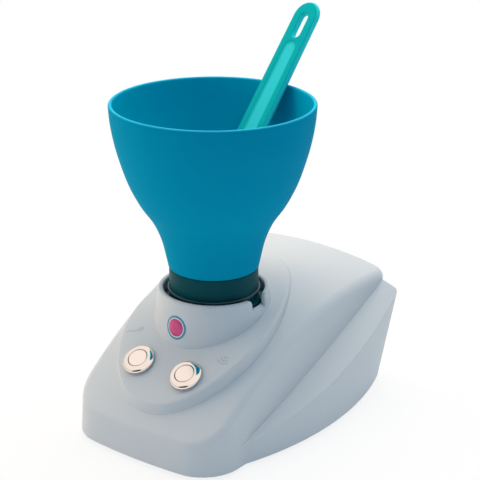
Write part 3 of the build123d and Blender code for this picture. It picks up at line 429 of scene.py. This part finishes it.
def welded(points: np.ndarray, faces: np.ndarray) -> tuple[np.ndarray, list]:
    """Joins vertices that lie at one place, and drops the sides and quads that vanish with it.

    Args:
        points: Vertices.
        faces: Quads.

    Returns:
        The joined points, and faces of three or four corners.
    """
    _, first, which = np.unique(np.round(points, 4), axis=0, return_index=True, return_inverse=True)
    quads = which.ravel()[faces]
    same = quads == np.roll(quads, -1, axis=1)
    whole = quads[~same.any(1)]
    pinched = quads[same.sum(1) == 1]
    keep = ~(pinched == np.roll(pinched, -1, axis=1))
    triangles = pinched[keep].reshape(-1, 3)
    return points[first], whole.tolist() + triangles.tolist()


def round_angles(count: int) -> np.ndarray:
    """Angles spaced evenly round a circle, from 0 and short of a full turn."""
    return np.linspace(0.0, 2.0 * np.pi, count, endpoint=False)


def carried_round(profile: np.ndarray, segments: int) -> np.ndarray:
    """Circles round the Z axis: (r cos t, r sin t, z) for each radius r and height z.

    Args:
        profile: Radius and height of each circle.
        segments: Points round each circle.

    Returns:
        Points, circle by circle.
    """
    turn = round_angles(segments)
    radius, height = profile.T
    return np.stack([np.outer(radius, np.cos(turn)), np.outer(radius, np.sin(turn)),
                     np.repeat(height[:, None], segments, 1)], -1).reshape(-1, 3)


def turned_ring(outline: np.ndarray, segments: int) -> tuple[np.ndarray, np.ndarray]:
    """A closed outline of radius and height carried round the Z axis.

    Args:
        outline: Radius and height of each point, with the last not repeating the first.
        segments: Points round each circle.

    Returns:
        Points and outward quads; a point at radius 0 gives vertices that lie at one place.
    """
    points = carried_round(outline, segments)
    faces = loop_faces(len(outline) + 1, segments) % len(points)
    return points, outward(points, faces)


def loop_faces(rows: int, columns: int) -> np.ndarray:
    """Quads between neighbouring rows of a grid whose columns close on themselves.

    Args:
        rows: Number of rows.
        columns: Number of points in each row.

    Returns:
        An array of quads.
    """
    row, column = np.meshgrid(np.arange(rows - 1), np.arange(columns), indexing="ij")
    after = (column + 1) % columns
    quads = np.stack([row * columns + column, row * columns + after,
                      (row + 1) * columns + after, (row + 1) * columns + column], -1)
    return quads.reshape(-1, 4)


def revolved(profile: np.ndarray, segments: int) -> tuple[np.ndarray, list]:
    """A profile carried round the Z axis, closed by a pole at each end.

    The profile runs from the lower pole up the outside and back to the upper pole inside, so that
    the faces point outwards.

    Args:
        profile: Radius and height of each row, without the two poles' own points.
        segments: Points round each circle.

    Returns:
        Points and faces.
    """
    rings = carried_round(profile, segments)
    low, high = profile[0, 1], profile[-1, 1]
    points = np.vstack([rings, [[0.0, 0.0, low], [0.0, 0.0, high]]])
    faces = loop_faces(len(profile), segments).tolist()
    count = len(rings)
    after = (np.arange(segments) + 1) % segments
    faces += [[count, int(b), int(a)] for a, b in zip(range(segments), after)]
    last = count - segments
    faces += [[count + 1, last + int(a), last + int(b)] for a, b in zip(range(segments), after)]
    return points, faces


def through(knots: Sequence[tuple[float, float]], samples: int) -> np.ndarray:
    """A smooth curve through knots: cubic pieces with slopes averaged from the chords beside.

    Args:
        knots: Points in the plane, in order.
        samples: Points on the curve.

    Returns:
        The curve's points.
    """
    knots = np.asarray(knots, float)
    chord = np.linalg.norm(np.diff(knots, axis=0), axis=1)
    place = np.concatenate([[0.0], np.cumsum(chord)])
    slope = np.gradient(knots, place, axis=0)
    s = np.linspace(0.0, place[-1], samples)
    index = np.clip(np.searchsorted(place, s, side="right") - 1, 0, len(knots) - 2)
    width = chord[index][:, None]
    t = ((s - place[index])[:, None]) / width
    a, b = knots[index], knots[index + 1]
    da, db = slope[index] * width, slope[index + 1] * width
    return ((2 * t**3 - 3 * t**2 + 1) * a + (t**3 - 2 * t**2 + t) * da
            + (-2 * t**3 + 3 * t**2) * b + (t**3 - t**2) * db)


# ---------------------------------------------------------------- dressed CAD nodes
@dataclass
class CadDress:
    """Gives the CAD nodes their finishes and their shading."""

    nodes: dict[str, bpy.types.Object]
    hard_angle: float = 32.0

    def build(self) -> None:
        """Dresses every node."""
        for name, finish in NODE_FINISH.items():
            self.dress(self.nodes[name], finish)
        LOG.info("dressed %d CAD nodes", len(NODE_FINISH))

    def dress(self, node: bpy.types.Object, finish: Finish) -> None:
        """Sets one node's material, and shades it smooth between its hard edges.

        Args:
            node: The CAD node's object.
            finish: Its finish.
        """
        material = finish.material()
        for slot in node.material_slots:
            slot.link = "OBJECT"
            slot.material = material
        node.data.polygons.foreach_set("use_smooth", [True] * len(node.data.polygons))
        weld = node.modifiers.new("weld", "WELD")
        weld.merge_threshold = 0.00001
        split = node.modifiers.new("hard_edges", "EDGE_SPLIT")
        split.split_angle = math.radians(self.hard_angle)


# ---------------------------------------------------------------- the soft bowl
@dataclass
class SoftBowl:
    """The flexible bowl, turned from one profile with a rounded lip."""

    outside: tuple[tuple[float, float], ...] = (
        (30.3, 106.8), (31.6, 113.0), (34.7, 126.0), (40.2, 139.0), (48.2, 151.0), (54.8, 164.0),
        (60.3, 180.0), (64.3, 196.0), (66.1, 208.0), (66.7, 216.7))
    wall: float = 2.6
    inside: tuple[tuple[float, float], ...] = (
        (61.4, 196.0), (51.8, 164.0), (36.8, 139.0), (28.2, 113.0), (23.5, 106.0), (12.0, 102.9),
        (2.0, 102.5))
    plug_radius: float = 27.05
    plug_foot_z: float = 88.0
    plug_chamfer: float = 2.0
    neck_step: tuple[float, float] = (0.4, 0.6)
    segments: int = 160

    def build(self) -> bpy.types.Object:
        """Makes the bowl.

        Returns:
            The bowl's object.
        """
        outer = through(self.outside, 70)
        neck_z = self.outside[0][1]
        step_out, step_down = self.neck_step
        foot = np.array([[self.plug_radius - self.plug_chamfer, self.plug_foot_z],
                         [self.plug_radius, self.plug_foot_z + self.plug_chamfer],
                         [self.plug_radius, neck_z - step_down],
                         [self.plug_radius + step_out, neck_z]])
        turn = np.linspace(0.0, np.pi, 9)[1:-1]
        rim_r, rim_z = self.outside[-1]
        half = self.wall / 2
        lip = np.stack([rim_r - half + half * np.cos(turn), rim_z + half * np.sin(turn)], -1)
        inner = through([(rim_r - self.wall, rim_z), *self.inside], 60)
        points, faces = revolved(np.vstack([foot, outer, lip, inner]), self.segments)
        bowl = to_object("soft_bowl", points, faces, BOWL, "bowl")
        plain = np.zeros(len(foot) + len(outer))
        across = np.linspace(0.0, 1.0, len(lip))
        # painted light: 'inside' rows take the paler inside tone, and 'lip' rows take the painted
        # highlight on the lip
        rows = {"inside": np.concatenate([plain, across, np.ones(len(inner))]),
                "lip": np.concatenate([plain, np.sin(turn)**3, np.zeros(len(inner))])}
        for name, shares in rows.items():
            values = np.append(np.repeat(shares, self.segments), [0.0, shares[-1]])
            bowl.data.attributes.new(name, "FLOAT", "POINT").data.foreach_set("value", values)
        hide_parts("mixing_bowl")
        return bowl


# ---------------------------------------------------------------- the spatula
@dataclass
class MouldedSpatula:
    """The spatula as it is moulded: every edge rounded, and a shallow channel down each side."""

    length: float = 193.1
    above_grip: float = 63.5
    lean: float = 34.4
    heading: float = 75.0
    grip: tuple[float, float, float] = (7.026, 57.220, 216.0)
    tip_radius: float = 14.44
    tip_join: float = 10.9
    blade_half: float = 14.0
    narrow_from: float = 60.0
    narrow_to: float = 102.0
    low_half: float = 11.9
    head_radius: float = 11.1
    blade_thick: float = 1.1
    handle_thick: float = 2.2
    thicken_from: float = 76.0
    thicken_over: float = 18.0
    edge: float = 2.0
    channel: float = 0.75
    channel_slope: float = 3.4
    channel_margin: float = 4.8
    channel_from: float = 92.0
    channel_to: float = 165.0
    slot_half: float = 2.7
    slot_from: float = 167.2
    slot_to: float = 183.6
    across: int = 30

    def half_width(self, s: np.ndarray) -> np.ndarray:
        """Half the plan's width at a distance from the tip.

        Two circles make the ends. Between them the width is the blade's, then a smooth step to
        the handle's, then a straight taper.

        Args:
            s: Distances from the tip.

        Returns:
            Half widths.
        """
        start = self.length - self.head_radius
        step = smooth_step((s - self.narrow_from) / (self.narrow_to - self.narrow_from))
        taper = np.clip((s - self.narrow_to) / (start - self.narrow_to), 0.0, 1.0)
        handle = self.low_half + (self.head_radius - self.low_half) * taper
        sides = self.blade_half + (handle - self.blade_half) * step
        tip = np.sqrt(np.maximum(self.tip_radius**2 - (s - self.tip_radius)**2, 0.0))
        head = np.sqrt(np.maximum(self.head_radius**2 - (s - start)**2, 0.0))
        sides = np.where(s < self.tip_join, tip, sides)
        return np.where(s > start, head, sides)

    def slot_width(self, s: np.ndarray) -> np.ndarray:
        """Half the hanging slot's width: a band with two half-circle ends.

        Args:
            s: Distances from the tip.

        Returns:
            Half widths, 0 past the slot.
        """
        low, high = self.slot_from + self.slot_half, self.slot_to - self.slot_half
        past = np.maximum(np.maximum(low - s, s - high), 0.0)
        return np.sqrt(np.maximum(self.slot_half**2 - past**2, 0.0))

    def half_thickness(self, s: np.ndarray, w: np.ndarray) -> np.ndarray:
        """Half the section's thickness over the plan.

        The thickness steps up from blade to handle. A quarter ellipse of the distance to the
        outline, and one of the distance to the slot, round the edges. A smooth step of the
        distance inside the channel's outline sinks the channel.

        Args:
            s: Distances from the tip.
            w: Distances from the middle line.

        Returns:
            Half thicknesses.
        """
        half = self.half_width(s)
        start = self.length - self.head_radius
        from_head = self.head_radius - np.hypot(s - start, w)
        from_tip = self.tip_radius - np.hypot(s - self.tip_radius, w)
        from_side = np.where(s > start, from_head, half - np.abs(w))
        from_side = np.where(s < self.tip_join, from_tip, from_side)
        middle = (self.slot_from + self.slot_to) / 2.0
        reach = (self.slot_to - self.slot_from) / 2.0 - self.slot_half
        from_slot = np.hypot(np.maximum(np.abs(s - middle) - reach, 0.0), w) - self.slot_half
        step = smooth_step((s - self.thicken_from) / self.thicken_over)
        full = self.blade_thick + (self.handle_thick - self.blade_thick) * step
        wide = np.maximum(half - self.channel_margin, 0.1)
        past = np.maximum(np.maximum(self.channel_from + wide - s, s - self.channel_to + wide), 0.0)
        full = full - self.channel * smooth_step((wide - np.hypot(past, w)) / self.channel_slope)
        for distance in (from_side, from_slot):
            left = 1.0 - np.clip(distance / self.edge, 0.0, 1.0)
            full = full * np.sqrt(np.maximum(1.0 - left * left, 0.0))
        return full

    def build(self) -> bpy.types.Object:
        """Makes the spatula from four sheets: both halves of the plan, above and below.

        A point's distance from the middle line is slot + (half width - slot) * u, so the sheets
        meet along the middle, and along the slot and the outline, where the thickness is zero.
        The rows are rounded to a tenth of a millimetre, so that none lies closer to the next.

        Returns:
            The spatula's object.
        """
        bend = np.linspace(0.0, np.pi / 2.0, 22)
        head = self.length - self.head_radius * (1.0 - np.cos(bend))
        ends = np.array([self.slot_from, self.slot_to])
        near = self.slot_half * (1.0 - np.cos(bend))
        s = np.unique(np.round(np.concatenate([
            self.tip_join * (1.0 - np.cos(bend)),
            np.linspace(self.tip_join, self.length - self.head_radius, 150), head,
            ends[0] + near, ends[1] - near, ends[0] - near, ends[1] + near]), 1))
        u = 0.5 - 0.5 * np.cos(np.linspace(0.0, np.pi, self.across))
        along, share = np.meshgrid(s, u, indexing="ij")
        slot, half = self.slot_width(along), self.half_width(along)
        w = slot + (half - slot) * share
        rise = self.half_thickness(along, w)
        sheets, quads = [], []
        rows, columns = along.shape
        row, column = np.meshgrid(np.arange(rows - 1), np.arange(columns - 1), indexing="ij")
        corner = row * columns + column
        grid = np.stack([corner, corner + 1, corner + columns + 1, corner + columns], -1)
        grid = grid.reshape(-1, 4)
        for index, (side, face) in enumerate(((1, 1), (-1, 1), (1, -1), (-1, -1))):
            sheets.append(np.stack([side * w, face * rise, along], -1).reshape(-1, 3))
            turned = grid if side * face > 0 else grid[:, ::-1]
            quads.append(turned + index * rows * columns)
        local = np.vstack(sheets)
        placed, faces = welded(local, outward(local, np.vstack(quads)))
        lean, heading = math.radians(self.lean), math.radians(self.heading)
        axis = np.array([math.sin(lean) * math.cos(heading), math.sin(lean) * math.sin(heading),
                         math.cos(lean)])
        wide = np.array([math.sin(heading), -math.cos(heading), 0.0])
        normal = np.cross(axis, wide)
        tip = np.array(self.grip) - axis * (self.length - self.above_grip)
        placed = tip + placed @ np.stack([wide, normal, axis])
        piece = to_object("moulded_spatula", placed, faces, SPATULA, "spatula")
        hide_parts("spatula")
        return piece


# ---------------------------------------------------------------- the push buttons
@dataclass
class SteelButton:
    """One push button's turned bezel, with a rounded face, and its satin cap."""

    side: str
    x: float
    seat: tuple[float, float] = (-57.4, 52.8)
    tilt: float = 30.6
    radius: float = 11.0
    mouth: float = 6.75
    shoulder: float = 0.45
    dome: float = 2.15
    barrel: float = 9.3
    depth: float = 17.0
    cap_radius: float = 6.4
    cap_top: float = 2.55
    cap_thick: float = 5.2
    cap_edge: float = 0.35
    cap_crown: tuple[float, float] = (0.06, 0.08)
    stem: float = 2.5
    stem_length: float = 5.0
    clearance: float = 0.3
    lip: float = 0.1
    seat_gap: float = 0.02
    well_floor: float = -5.6
    hard_angle: float = 34.0
    segments: int = 96

    def placed(self, points: np.ndarray) -> np.ndarray:
        """Carries points from the button's own frame to the console.

        Args:
            points: Points about the button's axis, with z along it.

        Returns:
            The points, tilted and moved to the button's seat.
        """
        turn = math.radians(self.tilt)
        x, y, z = points.T
        return np.stack([x + self.x, y * math.cos(turn) - z * math.sin(turn) + self.seat[0],
                         y * math.sin(turn) + z * math.cos(turn) + self.seat[1]], -1)

    def bezel(self) -> None:
        """Turns the bezel: its face is a quarter ellipse from the mouth out to the shoulder."""
        share = np.linspace(0.0, np.pi / 2.0, 28)
        inner = self.mouth + self.clearance
        face = np.stack([inner + (self.radius - self.mouth - self.clearance) * np.sin(share),
                         self.shoulder + self.dome * np.cos(share)], -1)
        top = self.shoulder + self.dome
        bore = self.stem + self.clearance
        outline = np.vstack([
            [(bore, -self.depth), (self.barrel, -self.depth), (self.barrel, self.seat_gap),
             (self.radius, self.seat_gap)],
            face[::-1],
            [(self.mouth + self.lip, top - 0.5 * self.lip), (self.mouth, top - 2.5 * self.lip),
             (self.mouth, self.well_floor), (bore, self.well_floor)]])
        points, faces = turned_ring(outline, self.segments)
        self.settle("turned_bezel", points, faces.tolist(), POLISHED, "base", "button_bezel")

    def cap(self) -> None:
        """Turns the cap: a disc with a rounded rim and a faint crown, and the stem under it."""
        bend = np.linspace(0.0, np.pi / 2.0, 6)
        rim = np.stack([self.cap_radius - self.cap_edge + self.cap_edge * np.cos(bend),
                        self.cap_top - self.cap_edge + self.cap_edge * np.sin(bend)], -1)
        low = self.cap_top - self.cap_thick
        outline = np.vstack([
            [(0.0, low - self.stem_length), (self.stem, low - self.stem_length), (self.stem, low),
             (self.cap_radius, low)],
            rim,
            [(self.cap_radius * 0.5, self.cap_top + self.cap_crown[0]),
             (0.0, self.cap_top + self.cap_crown[1])]])
        points, faces = turned_ring(outline, self.segments)
        joined, sides = welded(points, faces)
        self.settle("satin_cap", joined, sides, SATIN_STEEL, f"{self.side}_cap", "button_cap")

    def settle(self, kind: str, points: np.ndarray, faces: list, finish: Finish, body: str,
               node: str) -> None:
        """Puts a turned piece in its place, keeps its corners crisp and hides its CAD node.

        Args:
            kind: The piece's name without its side.
            points: Points about the button's axis.
            faces: Vertex indices of each face.
            finish: Its finish.
            body: The body that it moves with.
            node: The name, without its side, of the node that it stands for.
        """
        piece = to_object(f"{self.side}_{kind}", self.placed(points), faces, finish, body)
        split = piece.modifiers.new("hard_edges", "EDGE_SPLIT")
        split.split_angle = math.radians(self.hard_angle)
        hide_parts(f"{self.side}_{node}")

    def build(self) -> None:
        """Makes the bezel and the cap."""
        self.bezel()
        self.cap()


# ---------------------------------------------------------------- the holder's drip ring
@dataclass
class DripRing:
    """The glossy rubber ring that keeps paste out of the well: a torus round the holder's foot."""

    radius: float = 30.3
    section: float = 1.15
    height: float = 90.6
    section_points: int = 20
    segments: int = 120

    def build(self) -> None:
        """Makes the ring: a circle of the section's radius carried round the spindle's axis."""
        turn = round_angles(self.section_points)
        outline = np.stack([self.radius + self.section * np.cos(turn),
                            self.height + self.section * np.sin(turn)], -1)
        points, faces = turned_ring(outline, self.segments)
        to_object("drip_ring", points, faces.tolist(), RING_RUBBER, "spindle")


# ---------------------------------------------------------------- the collar's notch
@dataclass
class NotchRamp:
    """The curved ramp inside the collar's notch, which hides the well behind it."""

    inner: float = 34.2
    outer: float = 38.6
    width: float = 13.6
    top_z: float = 83.9
    low_z: float = 81.9
    foot_z: float = 80.6
    steps: int = 18
    across: int = 15

    def build(self) -> None:
        """Makes the ramp: its height falls as a half cosine from the bore to the notch's mouth."""
        share = np.linspace(0.0, 1.0, self.steps)
        r = self.inner + (self.outer - self.inner) * share
        z = self.low_z + (self.top_z - self.low_z) * (0.5 + 0.5 * np.cos(np.pi * share))
        outline = np.vstack([np.stack([r, z], -1),
                             [(self.outer, self.foot_z), (self.inner, self.foot_z)]])
        y = np.linspace(-self.width / 2.0, self.width / 2.0, self.across)
        bow = np.sqrt(self.inner**2 - y**2) - self.inner
        x = outline[:, 0][:, None] + bow[None, :]
        heights = np.broadcast_to(outline[:, 1][:, None], x.shape)
        points = np.stack([x, np.broadcast_to(y, x.shape), heights], -1)
        points = np.swapaxes(points, 0, 1).reshape(-1, 3)
        count = len(outline)
        faces = loop_faces(len(y), count)
        top = np.arange(count // 2 - 1)
        ends = np.stack([top, top + 1, count - 2 - top, count - 1 - top], -1)
        last = (len(y) - 1) * count
        faces = np.vstack([faces, ends, (ends + last)[:, ::-1]])
        joined, sides = welded(points, outward(points, faces))
        to_object("notch_ramp", joined, sides, HOUSING, "base")


# ---------------------------------------------------------------- badge and printed symbols
@dataclass
class CollarBadge:
    """A round enamel badge that follows the collar's cone: two thin rings round a plain disc."""

    height: float = 74.1
    radius: float = 8.0
    angle: float = -2.84
    collar_top_radius: float = 37.4
    collar_top_z: float = 91.5
    collar_foot_radius: float = 42.0
    collar_foot_z: float = 58.0
    lift: float = 0.25
    root: float = -0.4
    pinhole: float = 0.01
    disc_to: float = 6.0
    white_to: float = 6.6
    segments: int = 48

    def cone_radius(self, z: np.ndarray) -> np.ndarray:
        """The collar's outer radius at a height: a straight line from its top to its foot.

        Args:
            z: Heights.

        Returns:
            Radii.
        """
        share = (self.collar_top_z - z) / (self.collar_top_z - self.collar_foot_z)
        return self.collar_top_radius + share * (self.collar_foot_radius - self.collar_top_radius)

    def disc(self, name: str, inner: float, outer: float, finish: Finish) -> None:
        """A flat ring or disc laid round the cone's front.

        A point at radius q and angle t in the badge's own plane goes to height z0 + q sin t and to
        the arc length q cos t round the cone.

        Args:
            name: The piece's name.
            inner: Inner radius, or 0 for a disc.
            outer: Outer radius.
            finish: Its enamel.
        """
        turn = round_angles(self.segments)
        hole = max(inner, self.pinhole)
        rows = [(hole, self.root), (hole, self.lift - 0.05), (hole + 0.1, self.lift),
                (outer - 0.15, self.lift), (outer, self.lift - 0.12), (outer, self.root)]
        q = np.array([r for r, _ in rows])[:, None]
        rise = np.array([h for _, h in rows])[:, None]
        z = self.height + q * np.sin(turn)
        radius = self.cone_radius(z)
        around = q * np.cos(turn) / radius + math.radians(self.angle)
        far = radius + rise
        points = np.stack([far * np.sin(around), -far * np.cos(around), z], -1).reshape(-1, 3)
        faces = loop_faces(len(rows), len(turn))
        closing = loop_faces(2, len(turn))
        closing = np.where(closing >= len(turn), closing - len(turn),
                           closing + (len(rows) - 1) * len(turn))
        to_object(name, points, np.vstack([faces, closing]).tolist(), finish, "base")

    def build(self) -> None:
        """Makes the badge's disc and its two rings."""
        self.disc("badge_disc", 0.0, self.disc_to, INK_MAGENTA)
        self.disc("badge_inner_ring", self.disc_to, self.white_to, INK_WHITE)
        self.disc("badge_outer_ring", self.white_to, self.radius, INK_TEAL)


@dataclass
class ConsolePrint:
    """Two faint generic symbols printed on the console beside the buttons."""

    arc: tuple[tuple[float, float], ...] = ((-77.5, 36.5), (-41.5, 61.5), (68.0, 89.0))
    crown: float = 5.0
    crown_half_width: float = 95.0
    lift: float = 0.12
    sink: float = 0.5
    left_centre: tuple[float, float] = (-37.5, -38.5)
    right_centre: tuple[float, float] = (36.8, -39.8)
    line_width: float = 0.9
    heap_reach: tuple[float, ...] = (4.4, 3.0, 1.6)
    samples: int = 25

    def surface(self, x: np.ndarray, y: np.ndarray) -> np.ndarray:
        """The console's height: a circle through three (y, z) points, less a square-law crown.

        Args:
            x: Distances from the centre line.
            y: Distances along it.

        Returns:
            Heights in millimetres above the housing's edge.
        """
        (y0, z0), (y1, z1), (y2, z2) = self.arc
        sides = 2.0 * np.array([[y1 - y0, z1 - z0], [y2 - y0, z2 - z0]])
        powers = np.array([y1**2 - y0**2 + z1**2 - z0**2, y2**2 - y0**2 + z2**2 - z0**2])
        centre_y, centre_z = np.linalg.solve(sides, powers)
        radius = math.hypot(y0 - centre_y, z0 - centre_z)
        return (centre_z + np.sqrt(radius**2 - (y - centre_y)**2)
                - self.crown * (x / self.crown_half_width)**2)

    def stroke(self, name: str, line: np.ndarray, widths: np.ndarray) -> None:
        """A printed stroke: a ribbon laid on the console along a line in plan.

        Each row has four points: the two edges lifted off the surface and the same two sunk in it.

        Args:
            name: The piece's name.
            line: Plan points along the stroke's middle.
            widths: Its width at each point.
        """
        along = np.gradient(line, axis=0)
        along /= np.linalg.norm(along, axis=1, keepdims=True)
        side = np.stack([-along[:, 1], along[:, 0]], -1) * widths[:, None] / 2.0
        corners = [(line + side, self.lift), (line - side, self.lift),
                   (line - side, -self.sink), (line + side, -self.sink)]
        rows = [np.column_stack([plan, self.surface(plan[:, 0], plan[:, 1]) + rise])
                for plan, rise in corners]
        points = np.stack(rows, 1).reshape(-1, 3)
        last = len(points) - 4
        faces = loop_faces(len(line), 4).tolist()
        faces += [[0, 1, 2, 3], [last + 3, last + 2, last + 1, last]]
        to_object(name, points, faces, INK_GREY, "base", smooth=False)

    def build(self) -> None:
        """Makes the left symbol, a stirring paddle, and the right one, a heap of powder."""
        share = np.linspace(0.0, 1.0, self.samples)
        even = np.full(self.samples, self.line_width)
        x0, y0 = self.left_centre
        handle = np.column_stack([x0 - 5.2 + 7.4 * share,
                                  y0 - 3.2 + 4.0 * share + 0.7 * np.sin(2.0 * np.pi * share)])
        self.stroke("symbol_paddle_handle", handle, even)
        blade = np.column_stack([x0 + 1.4 + 4.0 * share, y0 + 0.5 + 2.1 * share])
        self.stroke("symbol_paddle_blade", blade, 1.0 + 2.2 * np.sin(np.pi * share))
        x1, y1 = self.right_centre
        for index, reach in enumerate(self.heap_reach):
            wave = np.column_stack([x1 - reach + 2.0 * reach * share,
                                    y1 - 1.9 + 1.9 * index + 0.6 * np.cos(2.0 * np.pi * share)])
            self.stroke(f"symbol_powder_{index}", wave, even)


# ---------------------------------------------------------------- studio
@dataclass
class Studio:
    """Floor, lamps, world and camera."""

    focal_px: float = 1282.09
    frame_px: float = 480.0
    sensor_mm: float = 36.0
    azimuth: float = 36.4
    range_mm: float = 792.05
    height_mm: float = 432.8
    heading: float = 1.2638
    pitch: float = 21.338
    roll: float = 0.109
    near_clip: float = 0.01
    sky_colour: str = "#B2DEFF"
    sky_strength: float = 0.44
    horizon_share: float = 0.55
    full_from: float = 0.45
    flag_towards: tuple[float, float, float] = (0.0, -0.97, 0.24)
    flag_edge: tuple[float, float] = (0.89, 0.94)
    flag_share: float = 0.04
    shadow_zone: tuple[float, float] = (0.12, 0.32)
    shadow_share: float = 0.84
    floor_half: float = 6.0
    lamps: list[tuple] = field(default_factory=lambda: [
        # name, place (m), aim (m), size (m), power (W), colour
        ("window_left", (-1.0, -0.35, 0.8), (0.0, 0.0, 0.1), 1.5, 13.0, "#FFDDB8"),
        ("top_rear", (-0.02, 0.45, 1.3), (0.0, 0.0, 0.0), 1.2, 16.5, "#FFEEDB"),
    ])

    def build(self) -> None:
        """Makes the whole studio."""
        self.world()
        self.floor()
        for lamp in self.lamps:
            self.lamp(*lamp)
        self.camera()
        bpy.context.scene.view_settings.view_transform = "Standard"

    def world(self) -> None:
        """A soft, cool sky, seen as white.

        Glossy surfaces see it fall off low down, and a dark flag in front.
        """
        world = bpy.data.worlds.new("studio_sky")
        bpy.context.scene.world = world
        tree = empty_tree(world)
        soft = add_node(tree, "ShaderNodeBackground", {
            "Color": linear(self.sky_colour), "Strength": self.sky_strength})
        place = add_node(tree, "ShaderNodeTexCoord")
        axes = add_node(tree, "ShaderNodeSeparateXYZ", {0: place.outputs["Generated"]})
        level = add_node(tree, "ShaderNodeMapRange", {
            "Value": axes.outputs["Z"], "From Min": 0.0, "From Max": self.full_from,
            "To Min": self.horizon_share, "To Max": 1.0})
        facing = add_node(tree, "ShaderNodeVectorMath", {
            0: place.outputs["Generated"], 1: self.flag_towards}, operation="DOT_PRODUCT")
        flag = add_node(tree, "ShaderNodeMapRange", {
            "Value": facing.outputs["Value"], "From Min": self.flag_edge[0],
            "From Max": self.flag_edge[1], "To Min": 1.0, "To Max": self.flag_share})
        graded = add_node(tree, "ShaderNodeMath", {
            0: level.outputs["Result"], 1: flag.outputs["Result"]}, operation="MULTIPLY")
        ray = add_node(tree, "ShaderNodeLightPath")
        strength = add_node(tree, "ShaderNodeMath", {
            0: ray.outputs["Is Camera Ray"], 1: graded.outputs[0]}, operation="MAXIMUM")
        white = add_node(tree, "ShaderNodeBackground", {
            "Color": linear("#FFFFFF"), "Strength": strength.outputs[0]})
        mix = add_node(tree, "ShaderNodeMixShader", {
            0: self.seen_ray(tree), 1: soft.outputs[0], 2: white.outputs[0]})
        add_node(tree, "ShaderNodeOutputWorld", {"Surface": mix.outputs[0]})

    def seen_ray(self, tree: bpy.types.NodeTree) -> bpy.types.NodeSocket:
        """Adds a switch that is 1 on the rays by which a background is seen.

        Args:
            tree: The node tree.

        Returns:
            The largest of Is Camera Ray, Is Glossy Ray and Is Transmission Ray.
        """
        ray = add_node(tree, "ShaderNodeLightPath")
        direct = add_node(tree, "ShaderNodeMath", {
            0: ray.outputs["Is Camera Ray"], 1: ray.outputs["Is Glossy Ray"]}, operation="MAXIMUM")
        either = add_node(tree, "ShaderNodeMath", {
            0: direct.outputs[0], 1: ray.outputs["Is Transmission Ray"]}, operation="MAXIMUM")
        return either.outputs[0]

    def floor(self) -> None:
        """A pale sheet, seen as white, that keeps the object's shadow close round it."""
        material = bpy.data.materials.new("pale_floor")
        tree = empty_tree(material)
        place = add_node(tree, "ShaderNodeTexCoord")
        away = add_node(tree, "ShaderNodeVectorMath", {0: place.outputs["Object"]},
                        operation="LENGTH")
        glow_share = add_node(tree, "ShaderNodeMapRange", {
            "Value": away.outputs["Value"], "From Min": self.shadow_zone[0],
            "From Max": self.shadow_zone[1], "To Min": self.shadow_share, "To Max": 1.0},
            interpolation_type="SMOOTHSTEP")
        diffuse = add_node(tree, "ShaderNodeBsdfDiffuse", {"Color": linear("#FFFFFF")})
        glow = add_node(tree, "ShaderNodeEmission", {"Color": linear("#FFFFFF"), "Strength": 1.0})
        share = add_node(tree, "ShaderNodeMath", {
            0: self.seen_ray(tree), 1: glow_share.outputs["Result"]}, operation="MULTIPLY")
        mix = add_node(tree, "ShaderNodeMixShader", {
            0: share.outputs[0], 1: diffuse.outputs[0], 2: glow.outputs[0]})
        add_node(tree, "ShaderNodeOutputMaterial", {"Surface": mix.outputs[0]})
        mesh = bpy.data.meshes.new("studio_floor")
        half = self.floor_half
        mesh.from_pydata([(-half, -half, 0), (half, -half, 0), (half, half, 0), (-half, half, 0)],
                         [], [(0, 1, 2, 3)])
        mesh.materials.append(material)
        sheet = bpy.data.objects.new("studio_floor", mesh)
        bpy.context.scene.collection.objects.link(sheet)

    def lamp(self, name: str, place: tuple[float, float, float], aim: tuple[float, float, float],
             size: float, power: float, colour: str) -> None:
        """Adds one square soft lamp, which glossy surfaces see only as part of the white sky.

        Args:
            name: The lamp's name.
            place: Where it hangs, in metres.
            aim: The point that it faces.
            size: Its side.
            power: Its power in watts.
            colour: Its sRGB colour.
        """
        light = bpy.data.lights.new(name, "AREA")
        light.shape = "SQUARE"
        light.size = size
        light.energy = power
        light.color = linear(colour)[:3]
        holder = bpy.data.objects.new(name, light)
        holder.visible_glossy = False
        holder.location = place
        holder.rotation_euler = (Vector(aim) - Vector(place)).to_track_quat("-Z", "Y").to_euler()
        bpy.context.scene.collection.objects.link(holder)

    def camera(self) -> None:
        """Places the camera where the picture was taken from."""
        data = bpy.data.cameras.new("camera")
        data.sensor_width = self.sensor_mm
        data.lens = self.focal_px / self.frame_px * self.sensor_mm
        data.clip_start = self.near_clip
        eye = bpy.data.objects.new("camera", data)
        turn = math.radians(self.azimuth)
        eye.location = (self.range_mm * math.sin(turn) * MM, -self.range_mm * math.cos(turn) * MM,
                        (self.height_mm + PLINTH) * MM)
        look = math.radians(self.heading - self.azimuth)
        dip = math.radians(self.pitch)
        forward = Vector((math.sin(look) * math.cos(dip), math.cos(look) * math.cos(dip),
                          -math.sin(dip)))
        level = forward.to_track_quat("-Z", "Y")
        tilt = Matrix.Rotation(math.radians(self.roll), 3, "Z").to_quaternion()
        eye.rotation_euler = (level @ tilt).to_euler()
        bpy.context.scene.collection.objects.link(eye)
        bpy.context.scene.camera = eye


def main() -> None:
    """Builds the sub-assemblies in order."""
    logging.basicConfig(level=logging.INFO, format="%(name)s: %(message)s")
    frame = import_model()
    CadDress(frame["nodes"]).build()
    SoftBowl().build()
    MouldedSpatula().build()
    SteelButton("left", -19.3).build()
    SteelButton("right", 19.3).build()
    DripRing().build()
    NotchRamp().build()
    CollarBadge().build()
    ConsolePrint().build()
    Studio().build()


if __name__ == "__main__":
    main()
